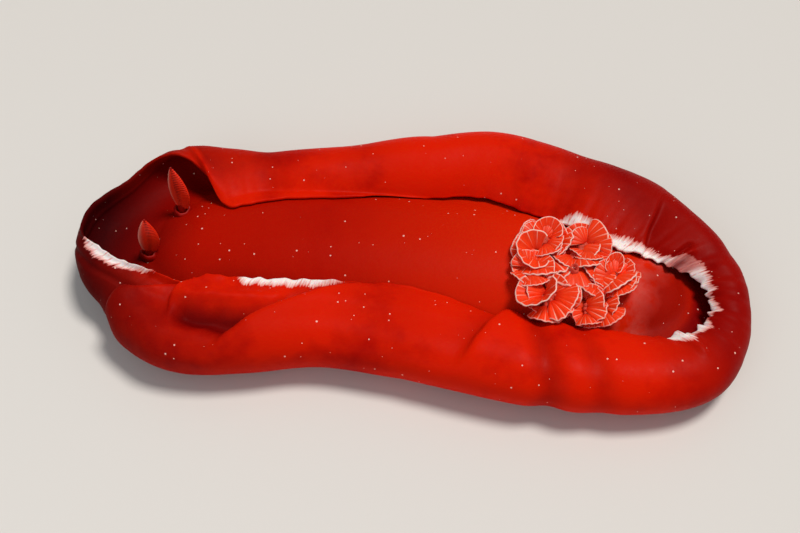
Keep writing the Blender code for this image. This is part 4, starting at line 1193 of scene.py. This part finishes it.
def feelerMaterial():
    # wet pleated flesh: fine dark clefts between the pleats and a thin pale edge along one side
    material, tree = newMaterial("wetPleatedFlesh")
    place = addNode(tree, "ShaderNodeTexCoord").outputs["Object"]
    looks = {"Vector": place, "Scale": 1000 / feeler["driftMm"], "Detail": 3.0}
    drift = addNode(tree, "ShaderNodeTexNoise", looks)
    redder = addNode(tree, "ShaderNodeMapRange", (drift, 0.1, 0.42))
    looks = {"Factor": redder, "A": hexColour(flesh["deep"]), "B": hexColour(feeler["red"])}
    colour = addNode(tree, "ShaderNodeMix", looks, data_type="RGBA")
    club = addNode(tree, "ShaderNodeAttribute", attribute_name="club").outputs["Fac"]
    looks = {"Factor": club, "A": hexColour(feeler["sheath"]), "B": colour}
    colour = addNode(tree, "ShaderNodeMix", looks, data_type="RGBA")
    pale = addNode(tree, "ShaderNodeAttribute", attribute_name="pale").outputs["Fac"]
    looks = {"Factor": pale, "A": colour, "B": hexColour(feeler["pale"])}
    colour = addNode(tree, "ShaderNodeMix", looks, data_type="RGBA")
    looks = {
        "Base Color": colour,
        "Roughness": 0.4,
        "IOR": 1.38,
        "Specular IOR Level": 0.25,
        "Subsurface Weight": 0.2,
        "Subsurface Radius": (1.0, 0.15, 0.08),
        "Subsurface Scale": 1.0 * mm,
    }
    shader = addNode(tree, "ShaderNodeBsdfPrincipled", looks)
    addNode(tree, "ShaderNodeOutputMaterial", {"Surface": shader})
    return material


# one pleat: a thin lens of radius 1 with a rounded edge, pale along one side
def pleatMesh():
    sides = feeler["pleatSides"]
    rings = ((0.0, 0.5), (0.6, 0.5), (0.9, 0.35), (1.0, 0.0), (0.9, -0.35), (0.6, -0.5), (0.0, -0.5))
    points, pale = [], []
    for out, up in rings:
        for k in range(sides if out else 1):
            angle = 2 * math.pi * k / sides
            points.append((out * math.cos(angle), out * math.sin(angle), up))
            pale.append(max(0.0, -math.cos(angle)) ** 6 if out >= 0.9 else 0.0)
    starts = [1 + sides * k for k in range(5)]
    faces = []
    for k in range(sides):
        n = (k + 1) % sides
        faces.append((0, 1 + k, 1 + n))
        faces += [(low + k, high + k, high + n, low + n) for low, high in zip(starts, starts[1:])]
        faces.append((len(points) - 1, starts[-1] + n, starts[-1] + k))
    mesh = newMesh("pleat", points, faces, {"pale": pale, "club": np.ones(len(points))})
    turnOutwards(mesh)
    return mesh


# half the width of the club at a share of its height: broad below the middle, drawn to a tip
def clubSwell(share):
    return math.sin(math.pi * min(1.0, 0.16 + 0.81 * share)) ** 0.7 * (1 - 0.2 * share)


def makeFeelers(material, tree):
    pleat = pleatMesh()
    clubRun = feeler["clubTo"] - feeler["clubFrom"]
    for name, sizes in rhinophores.items():
        foot = onBack(sizes["foot"])
        tip = np.array(sizes["lean"]) + [0, 0, sizes["tall"]]

        def spine(share):
            return foot + tip * share + np.array(feeler["bend"]) * math.sin(math.pi * share)

        spots, turns, scales = [], [], []
        for k in range(feeler["pleats"]):
            along = (k + 0.5) / feeler["pleats"]
            share = feeler["clubFrom"] + clubRun * along
            ahead = Vector(spine(share + 0.01) - spine(share - 0.01)).normalized()
            turn = math.radians(sizes["turn"])
            flat = ahead.cross(Vector((math.cos(turn), math.sin(turn), 0))).normalized()
            basis = Matrix((flat.cross(ahead), flat, ahead)).transposed()
            turns.append((basis @ Matrix.Rotation(feeler["slope"], 3, "Y")).to_euler()[:])
            swell = clubSwell(along) * mm
            spots.append(spine(share))
            scales.append((feeler["wide"] * swell, feeler["flat"] * swell, feeler["pleatThick"] * mm))
        mesh = growLeaves(tree, [pleat], material, spots, turns, scales, [0] * len(spots))
        # the stem runs up inside the club as its core, flattened as the pleats are
        shape = bmesh.new()
        shape.from_mesh(mesh)
        shares = np.linspace(0, 1, feeler["coreRings"])
        path = [spine(share) for share in shares]
        path[0] = path[0] - [0, 0, feeler["sunk"]]
        radii = []
        for along in (shares - feeler["clubFrom"]) / clubRun:
            inClub = feeler["core"] * feeler["flat"] * clubSwell(min(along, 1.0))
            radii.append(max(feeler["thinnest"], feeler["stemWide"] if along < 0 else inClub))
        tube(shape, path, radii, 16)
        lathe(shape, foot, collar, True)
        shape.to_mesh(mesh)
        shape.free()
        finishPiece(name + "_pleated", mesh, material, "feeler_flesh", name)


# turns an outline round an upright line, a little unevenly
def lathe(shape, foot, sizes, ringed, sides=36):
    angle = np.linspace(0, 2 * np.pi, sides, endpoint=False)
    uneven = 1 + 0.05 * np.sin(3 * angle + foot[0]) + 0.03 * np.sin(7 * angle)
    rings = []
    for out, up in sizes["outline"]:
        wide = sizes["wide"] * out * uneven
        rise = sizes["tall"] * up * (1 + 0.12 * np.sin(2 * angle))
        rings.append(foot + np.stack([wide * np.cos(angle), wide * np.sin(angle), rise], -1))
    bridge(shape, rings, ringed)


papilla = {
    "wide": 2.6,
    "tall": 6.0,
    "outline": (
        (1.0, -0.2), (0.95, 0.05), (0.82, 0.35), (0.7, 0.65), (0.66, 0.88), (0.58, 0.98), (0.44, 1.0),
        (0.32, 0.9), (0.22, 0.6),
    ),
}


def makePapilla(material):
    shape = bmesh.new()
    lathe(shape, onBack(papillaSpot), papilla, False, 48)
    mesh = bpy.data.meshes.new("papilla")
    shape.to_mesh(mesh)
    shape.free()
    finishPiece("papilla_tube", mesh, material, "gill_flesh", "anal_papilla")


tentacle = {
    "long": 14.0,
    "wide": 8.0,
    "apart": 9.8,
    "splay": 10.0,
    "top": 3.9,
    "droop": 1.7,
    "rootThick": 2.4,
    "tipThick": 1.1,
    "neck": 0.75,
    "fingers": 6.0,
    "fingerDeep": 0.10,
    "ribHigh": 0.16,
    "round": 0.30,
    "sunk": 0.4,
    "grid": (26, 41),
}
mouthPad = {
    "wide": 10.0, "deep": 6.0, "bottom": 0.5, "top": 4.0, "groove": 1.1, "grooveWide": 0.12, "pleat": 0.22,
    "sunk": 0.6, "grid": (25, 61),
}
headY = float(axisY(trunk["middle"] - trunk["halfLength"]))


# where the trunk's front face stands at each place across it
def headFace(y):
    share = np.clip(np.abs(y - headY) / trunk["halfWidth"], 0, 1)
    power = trunk["headFullness"]
    return trunk["middle"] - trunk["halfLength"] * (1 - share**power) ** (1 / power)


def makeTentacles(material):
    rows, columns = tentacle["grid"]
    along = np.linspace(0, 1, rows)[:, None]
    across = np.sin(np.linspace(-1, 1, columns) * math.pi / 2)[None, :]
    comb = np.cos(tentacle["fingers"] * np.pi * across)
    for name, side in (("oral_tentacle_left", -1), ("oral_tentacle_right", 1)):
        splay = math.radians(tentacle["splay"]) * side
        width = tentacle["wide"] / 2 * (tentacle["neck"] + 0.4 * np.sin(np.pi * 0.72 * along))
        fingers = 1 + tentacle["fingerDeep"] * (comb - 0.6) * along**2
        reach = tentacle["long"] * along * (1 - tentacle["round"] * across**2) * fingers
        middle = headY + side * tentacle["apart"]
        root = headFace(middle + across * tentacle["wide"] / 2 * tentacle["neck"])
        upper = np.zeros((rows, columns, 3))
        upper[..., 0] = root + tentacle["sunk"] - reach * math.cos(splay)
        upper[..., 1] = middle + across * width + reach * math.sin(splay)
        thick = tentacle["rootThick"] + (tentacle["tipThick"] - tentacle["rootThick"]) * along
        thick = thick * np.sqrt(np.clip(1.02 - across**2, 0, 1)) * np.clip((1.03 - along) / 0.12, 0.1, 1) ** 0.5
        level = tentacle["top"] - tentacle["droop"] * along - tentacle["rootThick"] / 2
        lower = upper.copy()
        upper[..., 2] = level + thick / 2 + tentacle["ribHigh"] * comb * along
        lower[..., 2] = level - thick / 2
        finishPiece(name + "_lobe", closedSheet(name, upper, lower), material, "feeler_flesh", name)


def makeMouth(material):
    rows, columns = mouthPad["grid"]
    across = np.sin(np.linspace(-1, 1, columns) * math.pi / 2)[None, :]
    up = np.linspace(0, 1, rows)[:, None]
    upper = np.zeros((rows, columns, 3))
    upper[..., 1] = headY + across * mouthPad["wide"] / 2
    upper[..., 2] = mouthPad["bottom"] + (mouthPad["top"] - mouthPad["bottom"]) * up
    lower = upper.copy()
    lower[..., 0] = headFace(upper[..., 1]) + mouthPad["sunk"]
    swell = np.sin(np.pi * (0.02 + 0.96 * up)) ** 0.6
    bulge = mouthPad["deep"] * np.sqrt(1 - 0.98 * np.abs(across) ** 3)
    groove = mouthPad["groove"] * np.exp(-((across / mouthPad["grooveWide"]) ** 2))
    pleats = mouthPad["pleat"] * np.cos(26 * across) * np.exp(-((across / 0.5) ** 2))
    upper[..., 0] = headFace(upper[..., 1]) - swell * (bulge - groove + pleats)
    finishPiece("lips", closedSheet("lips", upper, lower), material, "foot_flesh", "mouth")


def lipMaterial():
    # moist lips: duller and a little paler than the back, with fine creases
    material, tree = newMaterial("moistLipFlesh")
    place = addNode(tree, "ShaderNodeTexCoord").outputs["Object"]
    creaseMm = 4.0
    drift = addNode(tree, "ShaderNodeTexNoise", {"Vector": place, "Scale": 1000 / creaseMm, "Detail": 4.0})
    looks = {"Factor": drift, "A": hexColour(flesh["deep"]), "B": hexColour(flesh["sole"])}
    colour = addNode(tree, "ShaderNodeMix", looks, data_type="RGBA")
    bump = addNode(tree, "ShaderNodeBump", {"Height": drift, "Distance": 0.3 * mm, "Strength": 0.4})
    looks = {
        "Base Color": colour,
        "Roughness": 0.5,
        "Normal": bump,
        "IOR": 1.38,
        "Specular IOR Level": 0.25,
        "Subsurface Weight": 0.2,
        "Subsurface Radius": (1.0, 0.15, 0.08),
        "Subsurface Scale": 1.5 * mm,
    }
    shader = addNode(tree, "ShaderNodeBsdfPrincipled", looks)
    addNode(tree, "ShaderNodeOutputMaterial", {"Surface": shader})
    return material


# the photo's angle, and soft studio light; spots are in metres and the sun's size is its angle
view = {"azimuth": 7.0, "elevation": 55.0, "distance": 395.0, "lens": 50.0, "aimHeight": 10.0}
lights = {
    "key": {"kind": "SUN", "spot": (0.16, 0.12, 0.52), "power": 2.35, "size": 0.30, "colour": "#fff7f0"},
    "fill": {"kind": "AREA", "spot": (-0.30, -0.60, 0.45), "power": 1.0, "size": 0.6, "colour": "#f4f7ff"},
}
air = {"colour": "#f3f4f5", "power": 0.27}
floor = {"half": 12.0, "colour": "#dcdbd7", "rough": 0.7}


def placeThing(name, data, spot, target):
    thing = bpy.data.objects.new(name, data)
    bpy.context.collection.objects.link(thing)
    thing.location = spot
    thing.rotation_euler = (Vector(spot) - Vector(target)).to_track_quat("Z", "Y").to_euler()
    return thing


def makeCamera():
    a = math.radians(view["azimuth"])
    e = math.radians(view["elevation"])
    target = Vector(toMetres([0.0, 0.0, view["aimHeight"]]))
    back = Vector((math.sin(a) * math.cos(e), -math.cos(a) * math.cos(e), math.sin(e)))
    camera = bpy.data.cameras.new("camera")
    camera.lens = view["lens"]
    camera.clip_start = 0.01
    thing = placeThing("camera", camera, target + back * view["distance"] * mm, target)
    bpy.context.scene.camera = thing


def makeLights():
    for name, sizes in lights.items():
        lamp = bpy.data.lights.new(name, sizes["kind"])
        lamp.energy = sizes["power"]
        lamp.color = hexColour(sizes["colour"])[:3]
        if sizes["kind"] == "SUN":
            lamp.angle = sizes["size"]
        else:
            lamp.shape = "DISK"
            lamp.size = sizes["size"]
        placeThing(name, lamp, sizes["spot"], (0.0, 0.0, 0.01))
    world = bpy.data.worlds.new("studio")
    bpy.context.scene.world = world
    world.use_nodes = True
    inputs = world.node_tree.nodes["Background"].inputs
    inputs["Color"].default_value = hexColour(air["colour"])
    inputs["Strength"].default_value = air["power"]


def makeFloor():
    # matt pale board: even and plain, so that only the shadow shows on it
    half = floor["half"]
    corners = [(-half, -half, 0), (half, -half, 0), (half, half, 0), (-half, half, 0)]
    mesh = newMesh("floor", corners, [(0, 1, 2, 3)], {})
    material, tree = newMaterial("paleFloor")
    looks = {"Base Color": hexColour(floor["colour"]), "Roughness": floor["rough"]}
    shader = addNode(tree, "ShaderNodeBsdfPrincipled", looks)
    addNode(tree, "ShaderNodeOutputMaterial", {"Surface": shader})
    mesh.materials.append(material)
    board = bpy.data.objects.new("floor", mesh)
    bpy.context.collection.objects.link(board)


bpy.context.scene.view_settings.view_transform = "Standard"
makeCamera()
makeLights()
makeFloor()
report("camera, lights and floor")
makeSkin(fleshMaterial())
report("skin")
tree = leafTree()
gillFlesh = gillMaterial()
makeGills(gillFlesh, tree)
makePapilla(gillFlesh)
report("gills")
feelerFlesh = feelerMaterial()
makeFeelers(feelerFlesh, tree)
makeTentacles(feelerFlesh)
makeMouth(lipMaterial())
report("head")
